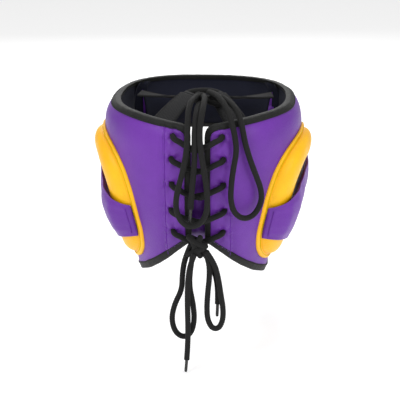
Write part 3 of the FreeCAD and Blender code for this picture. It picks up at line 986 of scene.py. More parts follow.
@dataclass(frozen=True)
class Binding:
    """Leather strip rolled over an edge and stitched through."""

    wide: float = 5.0 * MM
    proud: float = 0.9 * MM
    under: float = 1.3 * MM     # room for the lining
    stitch: Stitch = field(default_factory=Stitch)

    def section(self) -> Array:
        """Return the section as (outward past the edge, share of the way from outer to inner face, lift)."""
        bend = np.linspace(0.0, math.pi, 9)
        lips = [(-self.wide, 0.0, -0.6 * MM), (-self.wide, 0.0, 0.35 * MM),
                (-self.wide + 0.7 * MM, 0.0, self.proud)]
        over = [(0.9 * MM * math.sin(t), (1 - math.cos(t)) / 2, self.proud * math.cos(t)) for t in bend]
        back = [(a, 1.0, -b) for a, _, b in reversed(lips)]
        return np.array(lips + over + back)

    def roll(self, line: Array, seed: float, outer: Field, inner: Field) -> tuple[Shape, Shape]:
        """Make the strip and its stitches along an edge.

        Args:
            line: the edge as (angle, height) points, with the pad on the left going along it.
            seed: picks the pattern of puckers.
            outer: lift of the pad's outer face.
            inner: lift of the pad's inner face.

        Returns:
            The strip, and the stitches.
        """
        path = FORM.point(line[:, 0], line[:, 1])
        normal = FORM.outward(line[:, 0], line[:, 1])
        past = unit(np.cross(directions(path), normal))

        def seat(out: float, share: float, lift: float) -> Array:
            """Return one run of the strip, laid on the pad's own faces."""
            base = path + past * out
            angle, z = np.unwrap(np.arctan2(base[:, 0], base[:, 1])), base[:, 2]
            angle = angle + 2 * math.pi * np.round((line[0, 0] - angle[0]) / (2 * math.pi))
            top, bottom = outer(angle, z, z), inner(angle, z, z) - self.under
            return FORM.point(angle, z, top + (bottom - top) * share + lift)

        grid = np.stack([seat(*corner) for corner in self.section()], axis=1)
        pucker = ripple(grid, 5.0 * MM, seed) * 0.25 * MM
        grid = grid + normal[:, None] * pucker[..., None]
        stitches = self.stitch.along(seat(1.1 * MM - self.wide, 0.0, self.proud + 0.1 * MM), normal)
        return lattice(grid, caps=True), stitches


# ------------------------------------------------------------------ laces
@dataclass(frozen=True)
class Lace:
    """Round braided lace with its strands in relief."""

    radius: float = 2.85 * MM
    strands: int = 6
    twist: float = 7.5 * MM     # length in which a strand goes once round
    relief: float = 0.28 * MM
    step: float = 0.8 * MM
    sides: int = 24

    def tube(self, path: Array) -> Shape:
        """Braid the lace along a path.

        Args:
            path: points along its centreline, a step apart.

        Returns:
            The capped tube.
        """
        across, up = frames(path)
        travel = np.concatenate([[0.0], np.cumsum(np.linalg.norm(np.diff(path, axis=0), axis=1))])[:, None]
        turn = np.linspace(0.0, 2 * math.pi, self.sides, endpoint=False)[None]
        along = 2 * math.pi * travel / self.twist
        rising = abs(np.cos((self.strands * turn + self.strands * along) / 2))
        falling = abs(np.cos((self.strands * turn - self.strands * along) / 2))
        radius = self.radius - self.relief * (1 - np.maximum(rising, falling) ** 0.7)
        section = np.stack([radius * np.cos(turn), radius * np.sin(turn)], axis=-1)
        return swept(path, section, across, up)

    def line(self, points: Sequence[Sequence[float]]) -> Array:
        """Return the smooth centreline of a route's control points."""
        return curved(points, self.step)


LACE = Lace()
Route = tuple[tuple[float, float, float], ...]

BOW_LOOP_LEFT: Route = (
    (0.006, 0.104, -0.04), (0.012, 0.103, -0.054), (0.015, 0.101, -0.072), (0.0155, 0.099, -0.09),
    (0.023, 0.098, -0.106), (0.0265, 0.098, -0.122), (0.023, 0.098, -0.137), (0.014, 0.098, -0.143),
    (0.006, 0.0985, -0.137), (0.003, 0.099, -0.122), (0.0045, 0.1, -0.104), (0.008, 0.102, -0.086),
    (0.007, 0.104, -0.066), (0.004, 0.106, -0.049),
)
BOW_LOOP_RIGHT: Route = (
    (-0.006, 0.108, -0.042), (-0.0115, 0.1075, -0.054), (-0.0125, 0.106, -0.071), (-0.0105, 0.1045, -0.09),
    (-0.0095, 0.104, -0.108), (-0.0105, 0.1035, -0.121), (-0.015, 0.1035, -0.1295),
    (-0.0215, 0.1035, -0.1295),
    (-0.0255, 0.1035, -0.121), (-0.026, 0.104, -0.108), (-0.0235, 0.105, -0.092), (-0.021, 0.1065, -0.074),
    (-0.017, 0.1085, -0.057), (-0.009, 0.11, -0.045),
)
LACE_END_LEFT: Route = (
    (0.002, 0.1125, -0.047), (0.0065, 0.113, -0.058), (0.009, 0.111, -0.078), (0.0095, 0.1085, -0.102),
    (0.009, 0.107, -0.128), (0.0095, 0.1065, -0.15), (0.0105, 0.1065, -0.163),
)
LACE_END_RIGHT: Route = (
    (-0.003, 0.101, -0.046), (-0.011, 0.0995, -0.056), (-0.0175, 0.098, -0.072), (-0.0205, 0.0975, -0.09),
    (-0.02, 0.0975, -0.105),
)
CROWN_LONG: Route = (
    (-0.01, 0.04, 0.0935), (-0.021, 0.052, 0.0965), (-0.0295, 0.071, 0.0955), (-0.0375, 0.088, 0.0915),
    (-0.0425, 0.099, 0.08), (-0.0455, 0.1025, 0.064), (-0.0505, 0.102, 0.047), (-0.0565, 0.098, 0.03),
    (-0.062, 0.092, 0.013), (-0.062, 0.089, -0.001), (-0.055, 0.0925, -0.013), (-0.045, 0.0985, -0.015),
    (-0.036, 0.104, -0.007), (-0.0325, 0.108, 0.007), (-0.033, 0.1095, 0.023), (-0.035, 0.1095, 0.04),
    (-0.038, 0.1075, 0.056), (-0.036, 0.106, 0.072), (-0.0315, 0.1, 0.087), (-0.025, 0.084, 0.097),
    (-0.0185, 0.067, 0.1), (-0.013, 0.052, 0.0995), (-0.008, 0.0425, 0.0985),
)
CROWN_SHORT: Route = (
    (-0.003, 0.046, 0.0955), (-0.005, 0.063, 0.098), (-0.0055, 0.084, 0.098), (-0.005, 0.103, 0.094),
    (-0.003, 0.1135, 0.081), (-0.0035, 0.1175, 0.064), (-0.0065, 0.119, 0.045), (-0.0095, 0.119, 0.027),
    (-0.011, 0.1175, 0.009), (-0.009, 0.1155, -0.007), (-0.002, 0.1145, -0.0165), (0.0075, 0.1145, -0.0185),
    (0.0155, 0.115, -0.0125), (0.02, 0.1165, 0.0), (0.019, 0.118, 0.015), (0.0145, 0.119, 0.032),
    (0.0105, 0.1185, 0.049), (0.0085, 0.1165, 0.067), (0.0085, 0.1105, 0.082), (0.009, 0.098, 0.092),
    (0.008, 0.081, 0.097), (0.0055, 0.062, 0.097), (0.003, 0.046, 0.0955),
)
CROWN_END: Route = (
    (0.0, 0.048, 0.0885), (0.0015, 0.067, 0.0905), (0.0015, 0.087, 0.091), (0.0015, 0.106, 0.087),
    (0.002, 0.115, 0.073), (0.0015, 0.1173, 0.055), (0.0025, 0.1173, 0.036), (0.0045, 0.116, 0.017),
    (0.0055, 0.114, 0.0),
)
CROWN_EYE: Route = (
    (-0.002, 0.044, 0.0925), (-0.008, 0.039, 0.091), (-0.016, 0.0385, 0.0885), (-0.0215, 0.045, 0.0875),
    (-0.018, 0.052, 0.0885), (-0.009, 0.052, 0.0905), (-0.002, 0.047, 0.0925),
)
CROWN_TIE_REAR: Route = (
    (0.0155, 0.008, 0.086), (0.0115, 0.0135, 0.086), (0.006, 0.0205, 0.0862), (0.0035, 0.0275, 0.0878),
    (0.003, 0.034, 0.0895), (0.002, 0.041, 0.0918),
)
CROWN_TIE_FRONT: Route = (
    (0.0, -0.01, 0.088), (0.0065, -0.0095, 0.0878), (0.0125, -0.0065, 0.0874), (0.019, -0.0005, 0.0865),
    (0.018, 0.0048, 0.086), (0.0155, 0.008, 0.086),
)


@dataclass
class FreeLace:
    """A lace that hangs free from a knot."""

    name: str
    route: Route
    length: float
    body: str = ROOT
    far_end: str = "object"

    def build(self, finishes: Finishes, tip: bpy.types.Object | None = None) -> bpy.types.Object:
        """Args:
            finishes: the finishes.
            tip: the lace's tip, if it has one; not used.

        Returns:
            The lace.
        """
        path = LACE.line(self.route)
        blended = self.body != ROOT
        rides = "" if blended else ROOT
        cord = piece(self.name, LACE.tube(path), finishes.lace, rides, "black_lace", [self.name])
        if blended:
            self.body
            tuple(self.route[0])
            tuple(self.route[5])
            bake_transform(cord)
        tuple(self.route[0])
        2 * LACE.radius
        return cord


@dataclass
class LaceTip:
    """Moulded tip crimped on the end of a lace."""

    name: str
    route: Route
    nodes: tuple[str, ...] = ("aglets",)
    long: float = 14.0 * MM
    radius: float = 1.6 * MM

    def build(self, finishes: Finishes) -> bpy.types.Object:
        """Return the tip, which carries on from the end of its lace."""
        end, before = np.array(self.route[-1]), np.array(self.route[-2])
        heading = unit(end - before)
        share = np.array([-0.16, -0.1, 0.0, 0.06, 0.1, 0.5, 0.9, 0.97, 1.0])
        girth = np.array([1.62, 1.6, 1.35, 1.02, 1.0, 1.0, 0.98, 0.8, 0.4])
        path = end + heading * (share * self.long)[:, None]
        across, up = frames(path)
        section = round_section(self.radius, 16)[None] * girth[:, None, None]
        shape = swept(path, section, across, up)
        return piece(self.name, shape, finishes.tip, ROOT, "black_plastic", self.nodes)


@dataclass
class Laces:
    """The back lacing, its bow at the nape, and the crown lace with its long loops."""

    eyelets: tuple[Span, ...] = ((24.0, 68.0), (25.5, 46.0), (25.5, 20.0), (26.5, -8.0), (25.0, -32.0))
    free: tuple[FreeLace, ...] = (
        FreeLace("bow_loop_left", BOW_LOOP_LEFT, 0.209),
        FreeLace("bow_loop_right", BOW_LOOP_RIGHT, 0.184),
        FreeLace("crown_loop_long", CROWN_LONG, 0.361, Side.RIGHT.body),
        FreeLace("crown_loop_short", CROWN_SHORT, 0.359),
    )

    def free_ends(self, finishes: Finishes) -> None:
        """Make the laces that hang free, the ones that end in a tip last."""
        for lace in self.free:
            lace.build(finishes)
        ends = (("lace_end_left", LACE_END_LEFT, 0.117, ("aglets",)),
                ("lace_end_right", LACE_END_RIGHT, 0.063, ("aglets",)),
                ("crown_lace_end", CROWN_END, 0.147, ()))
        for name, route, length, nodes in ends:
            tip = LaceTip(name + "_tip", route, nodes).build(finishes)
            FreeLace(name, route, length, ROOT, "fitting").build(finishes, tip)

    def crossing(self, x: float, z: float, over: bool) -> tuple[Array, Array]:
        """Return one lace from its eyelet to the middle, and from there under the other flap.

        Args:
            x: the eyelet's place across the back, in millimetres.
            z: its height, in millimetres.
            over: this lace passes over the other one in the middle.

        Returns:
            The half on the wearer's left, and the half past the middle, drawn as for a left eyelet.
        """
        spread = 1.5 if over else -1.5
        drops = ((x + 1.5, z + 1.0, -8.0), (x, z, 0.0), (x - 3.5, z - 1.5, 3.9), (x - 9.0, z - 3.8, 4.1),
                 (11.0, z - 6.8, 4.6), (4.5, z - 9.0, 3.4 + spread), (0.0, z - 10.5, 2.4 + spread),
                 (-3.2, z - 11.8, 0.4 + spread), (-5.6, z - 13.0, -4.5), (-9.5, z - 14.5, -11.0))
        path = []
        for place_x, place_z, lift in drops:
            angle, height = FORM.seen_from_behind(place_x, place_z)
            turn = np.array(math.copysign(angle, place_x))
            path.append(FORM.point(turn, np.array(height), lift * MM))
        line = LACE.line(path)
        middle = int(np.argmin(abs(line[:, 0])))
        return line[:middle + 1], line[middle:]

    def back(self, finishes: Finishes) -> None:
        """Lace the two flaps together; each side keeps its own halves."""
        halves: dict[Side, list[Shape]] = {side: [] for side in Side}
        for count, (x, z) in enumerate(self.eyelets):
            for side in Side:
                near, past = self.crossing(x, z, over=(count % 2 == 0) == (side is Side.LEFT))
                other = Side.RIGHT if side is Side.LEFT else Side.LEFT
                halves[side].append(LACE.tube(near).on(side))
                halves[other].append(LACE.tube(past).on(side))
        for side, shapes in halves.items():
            name = side.named("back_lace")
            lace = piece(name, joined(shapes), finishes.lace, "", "black_lace", [name])
            side.body
            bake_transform(lace)

    def knots(self, finishes: Finishes) -> None:
        """Tie the knot at the nape and the one over the crown from turns of lace."""
        for name, grow, sink, eye in (("nape_knot", (1.4, 1.5, 1.35), 4.5, False),
                                      ("crown_knot", (1.0, 1.0, 1.0), 0.0, True)):
            low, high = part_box(name)
            centre = np.array((low + high) / 2) - np.array([0.0, 0.0, sink * MM])
            reach = np.maximum(np.array((high - low) / 2) - LACE.radius, 2.2 * MM) * np.array(grow)
            turn = np.linspace(0.0, 2 * math.pi, 9)[:-1]
            wraps = []
            for tilt, height, girth in ((0.5, 0.5, 1.0), (-0.45, -0.35, 1.05)):
                rise = height + tilt * np.cos(turn)
                ring = np.stack([girth * np.cos(turn), girth * np.sin(turn), rise], axis=1)
                wraps.append(ring * reach + centre)
            for lean, deep in ((0.55, 0.9), (-0.55, 0.6)):
                ring = np.stack([lean * np.sin(turn) + 0.15, deep * np.cos(turn), 1.0 * np.sin(turn)], axis=1)
                wraps.append(ring * reach + centre)
            shapes = [LACE.tube(LACE.line([*ring.tolist(), ring[0].tolist()])) for ring in wraps]
            if eye:
                shapes.append(LACE.tube(LACE.line(CROWN_EYE)))
            piece(name, joined(shapes), finishes.lace, ROOT, "black_lace", [name])

    def crown_tie(self, finishes: Finishes) -> None:
        """Run the crown lace through the strap channels, one half for each side."""
        for side in Side:
            lines = [LACE.tube(LACE.line(route)).on(side) for route in (CROWN_TIE_REAR, CROWN_TIE_FRONT)]
            name = side.named("crown_tie")
            lace = piece(name, joined(lines), finishes.lace, "", "black_lace", ["crown_tie"])
            side.body
            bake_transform(lace)


# ------------------------------------------------------------------ padded shell
@dataclass
class SidePad:
    """Side and back flap of one half: cover, lining, facing and bindings. Places are millimetres."""

    lace_gap: float = 7.7
    rim: float = 85.0
    facing_edge: float = 34.3
    eyelet_radius: float = 2.5
    eyelets: tuple[Span, ...] = Laces.eyelets

    def __post_init__(self) -> None:
        """Draw the edges and the region inside them."""
        behind, beside, before = FORM.seen_from_behind, FORM.seen_from_side, FORM.seen_from_front
        gap = self.lace_gap
        self.rim_line = outline(
            [behind(gap, -43), behind(gap, -10), behind(gap, 30), behind(gap, 77.5), behind(34, 81),
             behind(62, 84.2), beside(18, self.rim), beside(-25, self.rim), beside(-72, self.rim)],
            [0, 10, 10, 11, 14, 14, 14, 14, 0])
        self.cheek_line = outline(
            [beside(-72, 19.5), before(75, 19.5), before(52, 19.5), before(51, 8), before(46, -25),
             before(44, -60), before(48.6, -106), before(62, -107), beside(-62, -108), beside(-20, -104)],
            [0, 8, 4, 12, 16, 16, 7, 8, 10, 0])
        self.hem_line = outline(
            [beside(-20, -104), behind(67, -99.5), behind(57, -89), behind(45, -78), behind(33, -67),
             behind(17, -51), behind(gap, -43)],
            [0, 7, 8, 6, 10, 7, 0])
        temple = outline([beside(-72, self.rim), beside(-72, 52), beside(-72, 19.5)], [0, 8, 0])
        self.region = Region(np.concatenate([self.rim_line, temple, self.cheek_line, self.hem_line]))

    def holes(self, place: Array, radius: float) -> Array:
        """Return how far outside the nearest eyelet each place is."""
        gaps = [np.hypot(place[..., 0] - x * MM, place[..., 2] - z * MM) for x, z in self.eyelets]
        return np.where(place[..., 1] > 0, np.min(gaps, axis=0), 1.0) - radius * MM

    def outer(self, angle: Array, z: Array, _: Array) -> Array:
        """Return the lift of the cover: pinched edges, soft swellings, and puckers round the eyelets."""
        place = FORM.point(angle, z)
        lift = EDGE.outer(self.region.depth(angle, z))
        lift = lift + ripple(place, 34 * MM, 3.0) * 0.7 * MM + ripple(place, 12 * MM, 8.0) * 0.12 * MM
        seam = (place[..., 0] - self.facing_edge * MM) / (3.0 * MM)
        behind = place[..., 1] > 0
        lift = lift - np.where(behind, 0.9 * MM * np.exp(-seam ** 2), 0.0)
        for count, (x, height) in enumerate(self.eyelets):
            dx, dz = place[..., 0] - x * MM, place[..., 2] - height * MM
            gap = np.hypot(dx, dz)
            folds = np.cos(5 * np.arctan2(dz, dx) + 1.7 * count) * np.exp(-((gap - 7 * MM) / (4.5 * MM)) ** 2)
            pulled = np.exp(-(gap / (5.5 * MM)) ** 2)
            lift = lift + np.where(behind, 0.55 * MM * folds - 1.9 * MM * pulled, 0.0)
        return lift

    def inner(self, angle: Array, z: Array, _: Array) -> Array:
        """Return the lift of the pad's inner face."""
        return EDGE.inner(self.region.depth(angle, z), FORM.thickness(z))

    def tuck(self, place: Array) -> Array:
        """Return how far the leather stops short of its edge, where a binding closes it."""
        temple = (place[..., 1] < -66 * MM) & (place[..., 2] > 26 * MM)
        return np.where(temple, 0.2, 1.5) * MM

    def build(self, finishes: Finishes, ear: "EarGuard") -> None:
        """Make the cover, lining, facing, bindings and seams of both sides."""
        angles, heights = (0.03, 2.75), (-0.11, 0.087)
        cell = 1.9 * MM

        def shell(angle: Array, z: Array) -> Array:
            """Return how far inside the leather's edges, the ear hole's and the eyelets' among them."""
            place = FORM.point(angle, z)
            open_ear = ear.oval.outside(place, ear.hole)
            edge = self.region.depth(angle, z) - self.tuck(place)
            return np.minimum(np.minimum(edge, open_ear), self.holes(place, 2.9))

        def inside(angle: Array, z: Array) -> Array:
            """Return how far inside the lining's edges each place is."""
            open_ear = ear.oval.outside(FORM.point(angle, z), ear.hole) + 1.2 * MM
            return np.minimum(self.region.depth(angle, z) - self.tuck(FORM.point(angle, z)), open_ear)

        def facing(angle: Array, z: Array) -> Array:
            """Return how far inside the facing strip each place is."""
            place = FORM.point(angle, z)
            edge = self.facing_edge * MM - place[..., 0]
            flap = np.minimum(self.region.depth(angle, z) - 4.0 * MM, edge)
            return np.minimum(flap, self.holes(place, self.eyelet_radius))

        def facing_top(angle: Array, z: Array, deep: Array) -> Array:
            """Return the lift of the facing, drawn down along its seam."""
            place = FORM.point(angle, z)
            seam = np.exp(-((self.facing_edge - 2.2) * MM - place[..., 0]) ** 2 / (1.3 * MM) ** 2)
            dimple = 0.5 + 0.5 * np.cos(2 * math.pi * place[..., 2] / (3.6 * MM))
            fold = 0.9 * MM * np.sqrt(np.clip(deep / (1.2 * MM), 0.0, 1.0))
            return self.outer(angle, z, deep) + fold - seam * (0.35 + 0.4 * dimple) * MM

        def lining_top(angle: Array, z: Array, deep: Array) -> Array:
            """Return the lift of the lining's face on the pad."""
            return self.inner(angle, z, deep) - 0.15 * MM

        cover = patch(angles, heights, cell, shell, self.outer, self.inner)
        lining = patch(angles, heights, 3.2 * MM, inside, lining_top,
                       lambda angle, z, deep: lining_top(angle, z, deep) - 1.1 * MM)
        strip = patch((0.03, 0.45), heights, 1.15 * MM, facing, facing_top,
                      lambda angle, z, deep: self.outer(angle, z, deep) - 0.25 * MM)
        seam = self.facing_seam()
        edges = (("rim_binding", self.rim_line, 1.0, 5.2), ("cheek_binding", self.cheek_line, 2.0, 5.2),
                 ("hem_binding", self.hem_line, 3.0, 7.0))
        rolls = {name: Binding(wide * MM).roll(line, seed, self.outer, self.inner)
                 for name, line, seed, wide in edges}
        for side in Side:
            body = side.body
            pad = piece(side.named("side_cover"), cover.on(side), finishes.purple, body, "purple_leather",
                        [side.named("side_cover"), side.named("side_foam")])
            piece(side.named("side_lining"), lining.on(side), finishes.lining, body, "lining_cloth",
                  [side.named("side_lining")])
            piece(side.named("lacing_facing"), strip.on(side), finishes.purple, body, "purple_leather",
                  [side.named("lacing_facing")])
            piece(side.named("facing_seam"), seam.on(side), finishes.thread_purple, body, "purple_leather")
            for name, (roll, stitches) in rolls.items():
                full = side.named(name)
                piece(full, roll.on(side), finishes.edging, body, "black_leather", [full])
                full = side.named(name + "_seam")
                piece(full, stitches.on(side), finishes.thread_dark, body, "black_leather")

    def facing_seam(self) -> Shape:
        """Return the stitches that hold the facing's outer edge down."""
        x = self.facing_edge - 2.2
        run = np.array([FORM.seen_from_behind(x, z) for z in np.linspace(76.0, -62.0, 90)])
        angle, z = run[:, 0], run[:, 1]
        lift = self.outer(angle, z, angle) + 0.55 * MM
        return Stitch(thread=0.38 * MM).along(FORM.point(angle, z, lift), FORM.outward(angle, z))


@dataclass
class ForeheadPad:
    """Forehead pad: cover, lining and its two bindings. Places are millimetres."""

    rim: float = 85.0

    def __post_init__(self) -> None:
        """Draw the edges and the region inside them."""
        turn = 2 * math.pi
        high = FORM.seen_from_side(-72.4, self.rim)
        low = FORM.seen_from_side(-72.4, 20.0)
        front = [(math.radians(152), self.rim * MM - 0.4 * MM), (math.pi, self.rim * MM - 0.6 * MM),
                 (math.radians(208), self.rim * MM - 0.4 * MM)]
        brow = [(math.radians(208), 0.0252), (math.pi, 0.0262), (math.radians(152), 0.0252)]
        self.rim_line = outline([high, *front, (turn - high[0], high[1])], [0, 20, 20, 20, 0])
        self.brow_line = outline([(turn - low[0], low[1]), *brow, low], [0, 20, 20, 20, 0])
        self.region = Region(np.concatenate([self.rim_line, self.brow_line]))

    def outer(self, angle: Array, z: Array, _: Array) -> Array:
        """Return the lift of the cover."""
        place = FORM.point(angle, z)
        swell = ripple(place, 30 * MM, 5.0) * 0.6 * MM + ripple(place, 11 * MM, 9.0) * 0.12 * MM
        return EDGE.outer(self.region.depth(angle, z)) + swell

    def inner(self, angle: Array, z: Array, _: Array) -> Array:
        """Return the lift of the pad's inner face."""
        return EDGE.inner(self.region.depth(angle, z), FORM.thickness(z))

    def build(self, finishes: Finishes) -> None:
        """Make every piece of the forehead pad."""
        angles, heights = (2.2, 4.1), (0.017, 0.087)
        cell = 2.0 * MM

        def shell(angle: Array, z: Array) -> Array:
            """Return how far inside the leather's edge each place is."""
            temple = FORM.point(angle, z)[..., 1] > -78 * MM
            return self.region.depth(angle, z) - np.where(temple, 0.2, 1.5) * MM

        cover = patch(angles, heights, cell, shell, self.outer, self.inner)
        pad = piece("forehead_cover", cover, finishes.purple, ROOT, "purple_leather",
                    ["forehead_cover", "forehead_foam"])

        def lining_top(angle: Array, z: Array, deep: Array) -> Array:
            """Return the lift of the lining's face on the pad."""
            return self.inner(angle, z, deep) - 0.15 * MM

        lining = patch(angles, heights, 3.2 * MM, shell, lining_top,
                       lambda angle, z, deep: lining_top(angle, z, deep) - 1.1 * MM)
        tape = self.temple_tape()
        for side in Side:
            piece(side.named("temple_tape"), tape.on(side), finishes.lining, ROOT, "lining_cloth")
        piece("forehead_lining", lining, finishes.lining, ROOT, "lining_cloth", ["forehead_lining"])
        edges = (("forehead_rim_binding", self.rim_line, 4.0), ("brow_binding", self.brow_line, 5.0))
        for name, line, seed in edges:
            roll, stitches = Binding().roll(line, seed, self.outer, self.inner)
            piece(name, roll, finishes.edging, ROOT, "black_leather", [name])
            piece(name + "_seam", stitches, finishes.thread_dark, ROOT, "black_leather")


    def temple_tape(self) -> Shape:
        """Return the cloth tape that covers the seam with the left side pad from inside."""
        seam, half = -72.2 * MM, 10.0 * MM

        def cover(angle: Array, z: Array) -> Array:
            """Return how far inside the tape each place is."""
            across = half - abs(FORM.point(angle, z)[..., 1] - seam)
            return np.minimum(across, np.minimum(z - 28 * MM, 83 * MM - z))

        def top(angle: Array, z: Array, _: Array) -> Array:
            """Return the lift of the tape's face on the linings."""
            away = 1.25 * abs(FORM.point(angle, z)[..., 1] - seam)
            return EDGE.inner(away, FORM.thickness(z)) - 1.5 * MM

        return patch((1.9, 2.6), (0.024, 0.087), 2.6 * MM, cover, top,
                     lambda angle, z, deep: top(angle, z, deep) - 0.6 * MM)


# ------------------------------------------------------------------ ear guards
@dataclass(frozen=True)
class EarOval:
    """The oval of the ear guard, in an upright plane turned to face out and back. Sizes are millimetres."""

    yaw: float = 12.4
    centre: tuple[float, float] = (-6.0, -11.5)
    half: tuple[float, float] = (62.0, 69.0)
    tilt: float = -9.5
    power: float = 2.6

    def reach(self, turn: Array, grow: Array | float) -> Array:
        """Return the oval's radius in metres at each turn, grown by metres."""
        wide, high = self.half[0] * MM + grow, self.half[1] * MM + grow
        c, s = np.cos(turn), np.sin(turn)
        return (abs(c / wide) ** self.power + abs(s / high) ** self.power) ** (-1 / self.power)

    @property
    def plane(self) -> tuple[Array, Array]:
        """Return the plane's level direction and the direction square to it."""
        yaw = math.radians(self.yaw)
        return np.array([-math.sin(yaw), math.cos(yaw), 0.0]), np.array([math.cos(yaw), math.sin(yaw), 0.0])

    def point(self, turn: Array, grow: Array | float, lift: Array | float) -> Array:
        """Return points of the shell seen square through the oval.

        Args:
            turn: angle round the oval; 0 is its rear, 90 degrees its top.
            grow: how far outside the oval, in metres.
            lift: how far off the leather.

        Returns:
            The points.
        """
        turn, grow, lift = np.broadcast_arrays(turn, grow, lift)
        r, tilt = self.reach(turn, grow), math.radians(self.tilt)
        u, v = r * np.cos(turn), r * np.sin(turn)
        along = self.centre[0] * MM + u * math.cos(tilt) - v * math.sin(tilt)
        up = self.centre[1] * MM + u * math.sin(tilt) + v * math.cos(tilt)
        level, square = self.plane
        start = along[..., None] * level + up[..., None] * np.array([0.0, 0.0, 1.0])
        return FORM.cast(start, square, lift)

    def outside(self, place: Array, grow: float) -> Array:
        """Return how far outside the grown oval each place is, seen square to its plane."""
        level, square = self.plane
        along, up = place @ level - self.centre[0] * MM, place[..., 2] - self.centre[1] * MM
        tilt = math.radians(self.tilt)
        u = along * math.cos(tilt) + up * math.sin(tilt)
        v = -along * math.sin(tilt) + up * math.cos(tilt)
        gap = np.hypot(u, v) - self.reach(np.arctan2(v, u), grow)
        return np.where(place @ square > 0, gap, 1.0)


@dataclass
class EarGuard:
    """Padded ring round the ear: stuffed tube, stitched welt and pleated wall of the hole."""

    oval: EarOval = field(default_factory=EarOval)
    hole: float = -36.0 * MM
    welt: float = 4.0 * MM
    high: float = 13.6 * MM
    pleats: int = 44
    around: int = 352

    def grid(self, grow: Array, lift: Array) -> Array:
        """Return ring points; each row of grow and lift is a section."""
        turn = np.linspace(0.0, 2 * math.pi, self.around, endpoint=False)[:, None]
        return self.oval.point(turn, np.broadcast_to(grow, (self.around, grow.shape[-1])), lift)

    def drift(self, spread: float, seed: float) -> Array:
        """Return slow noise round the ring, one row for each turn."""
        turns = np.linspace(0.0, 2 * math.pi, self.around, endpoint=False)
        places = [Vector((spread * math.cos(turn), spread * math.sin(turn), seed)) for turn in turns]
        return np.array([[noise.noise(place)] for place in places])

    def tube(self) -> Shape:
        """Return the stuffed tube, gathered at its outer seam and where it turns into the hole."""
        turn = np.linspace(0.0, 2 * math.pi, self.around, endpoint=False)[:, None]
        way = np.linspace(0.0, 2 * math.pi, 40, endpoint=False)[None]
        middle, half = (self.hole - self.welt) / 2, (-self.hole - self.welt) / 2
        c, s = np.cos(way), np.sin(way)
        grow = middle + half * np.sign(c) * abs(c) ** 0.86 + 0 * turn
        lift = np.where(s > 0, self.high * abs(s) ** 0.86, -1.2 * MM * abs(s)) + 0 * turn
        drift = self.drift(2.2, 4.0)
        fold = np.cos(self.pleats * turn + 5.0 * drift)
        short = np.cos(2.3 * self.pleats * turn + 9.0 * drift)
        at_hole = step_up(-c, 0.25, 0.95) * (s > -0.2)
        at_welt = step_up(c, 0.72, 0.98) * (s > -0.2)
        lift = lift + at_hole * 0.75 * MM * fold * step_up(abs(s), 0.0, 0.5) + at_welt * 0.3 * MM * short
        lift = lift + 0.9 * MM * drift * (s > 0) * abs(s)
        grow = grow + at_hole * 0.6 * MM * fold
        return lattice(self.oval.point(turn, grow, lift), wrap_rows=True)

    def wall(self) -> Shape:
        """Return the pleated wall that lines the hole down to the lining."""
        turn = np.linspace(0.0, 2 * math.pi, self.around, endpoint=False)[:, None]
        share = np.linspace(0.0, 1.0, 14)
        foot = self.oval.point(turn, self.hole, 0.0)
        full = FORM.thickness(foot[..., 2])
        top, bottom = self.high * 0.62, -full - 1.6 * MM
        level = top + (bottom - top) * share[None]
        grow = self.hole - 0.2 * MM - 1.6 * MM * np.sin(math.pi * np.clip(share * 1.3, 0.0, 1.0))[None]
        drift = self.drift(3.1, 1.0)
        crease = abs(np.cos(self.pleats * turn / 2 + 2.5 * drift)) ** 1.5
        grow = grow - crease * (0.5 + 1.3 * np.sin(math.pi * share)[None]) * MM + 0 * level
        outer = self.oval.point(turn, grow + 1.0 * MM, level)
        inner = self.oval.point(turn, grow, level)
        return lattice(np.concatenate([inner, outer[:, ::-1]], axis=1), wrap_rows=True)

    def rim_of_welt(self) -> tuple[Shape, Shape]:
        """Return the flat welt round the tube, and its stitches."""
        section = np.array([(0.0, -0.8), (0.5, 0.7), (0.3, 1.9), (-0.8, 2.5), (-2.2, 2.35), (-3.6, 2.5),
                            (-5.4, 2.0), (-5.6, -0.8)]) * MM
        grid = self.grid(section[:, 0], section[:, 1])
        grid = grid + ripple(grid, 9.0 * MM, 6.0)[..., None] * 0.25 * MM
        turn = np.linspace(0.0, 2 * math.pi, self.around + 1)
        seam = self.oval.point(turn, -2.2 * MM, 2.65 * MM)
        outward = FORM.outward(np.arctan2(seam[:, 0], seam[:, 1]), seam[:, 2])
        return lattice(grid, wrap_rows=True), Stitch(2.9 * MM, 3.9 * MM, 0.45 * MM).along(seam, outward)

    def build(self, finishes: Finishes) -> None:
        """Make the guard of both ears."""
        tube, wall, (welt, stitches) = self.tube(), self.wall(), self.rim_of_welt()
        for side in Side:
            body = side.body
            pad = piece(side.named("ear_ring_cover"), tube.on(side), finishes.yellow, body, "yellow_leather",
                        [side.named("ear_ring_cover"), side.named("ear_ring_foam")])
            # The hole's wall takes the darker yellow copy: painted shade inside the ear hole
            piece(side.named("ear_hole_wall"), wall.on(side), finishes.yellow_shaded, body, "yellow_leather",
                  [side.named("ear_hole_wall")])
            piece(side.named("ear_welt"), welt.on(side), finishes.yellow, body, "yellow_leather",
                  [side.named("ear_welt")])
            piece(side.named("ear_welt_seam"), stitches.on(side), finishes.thread_yellow, body,
                  "yellow_leather")


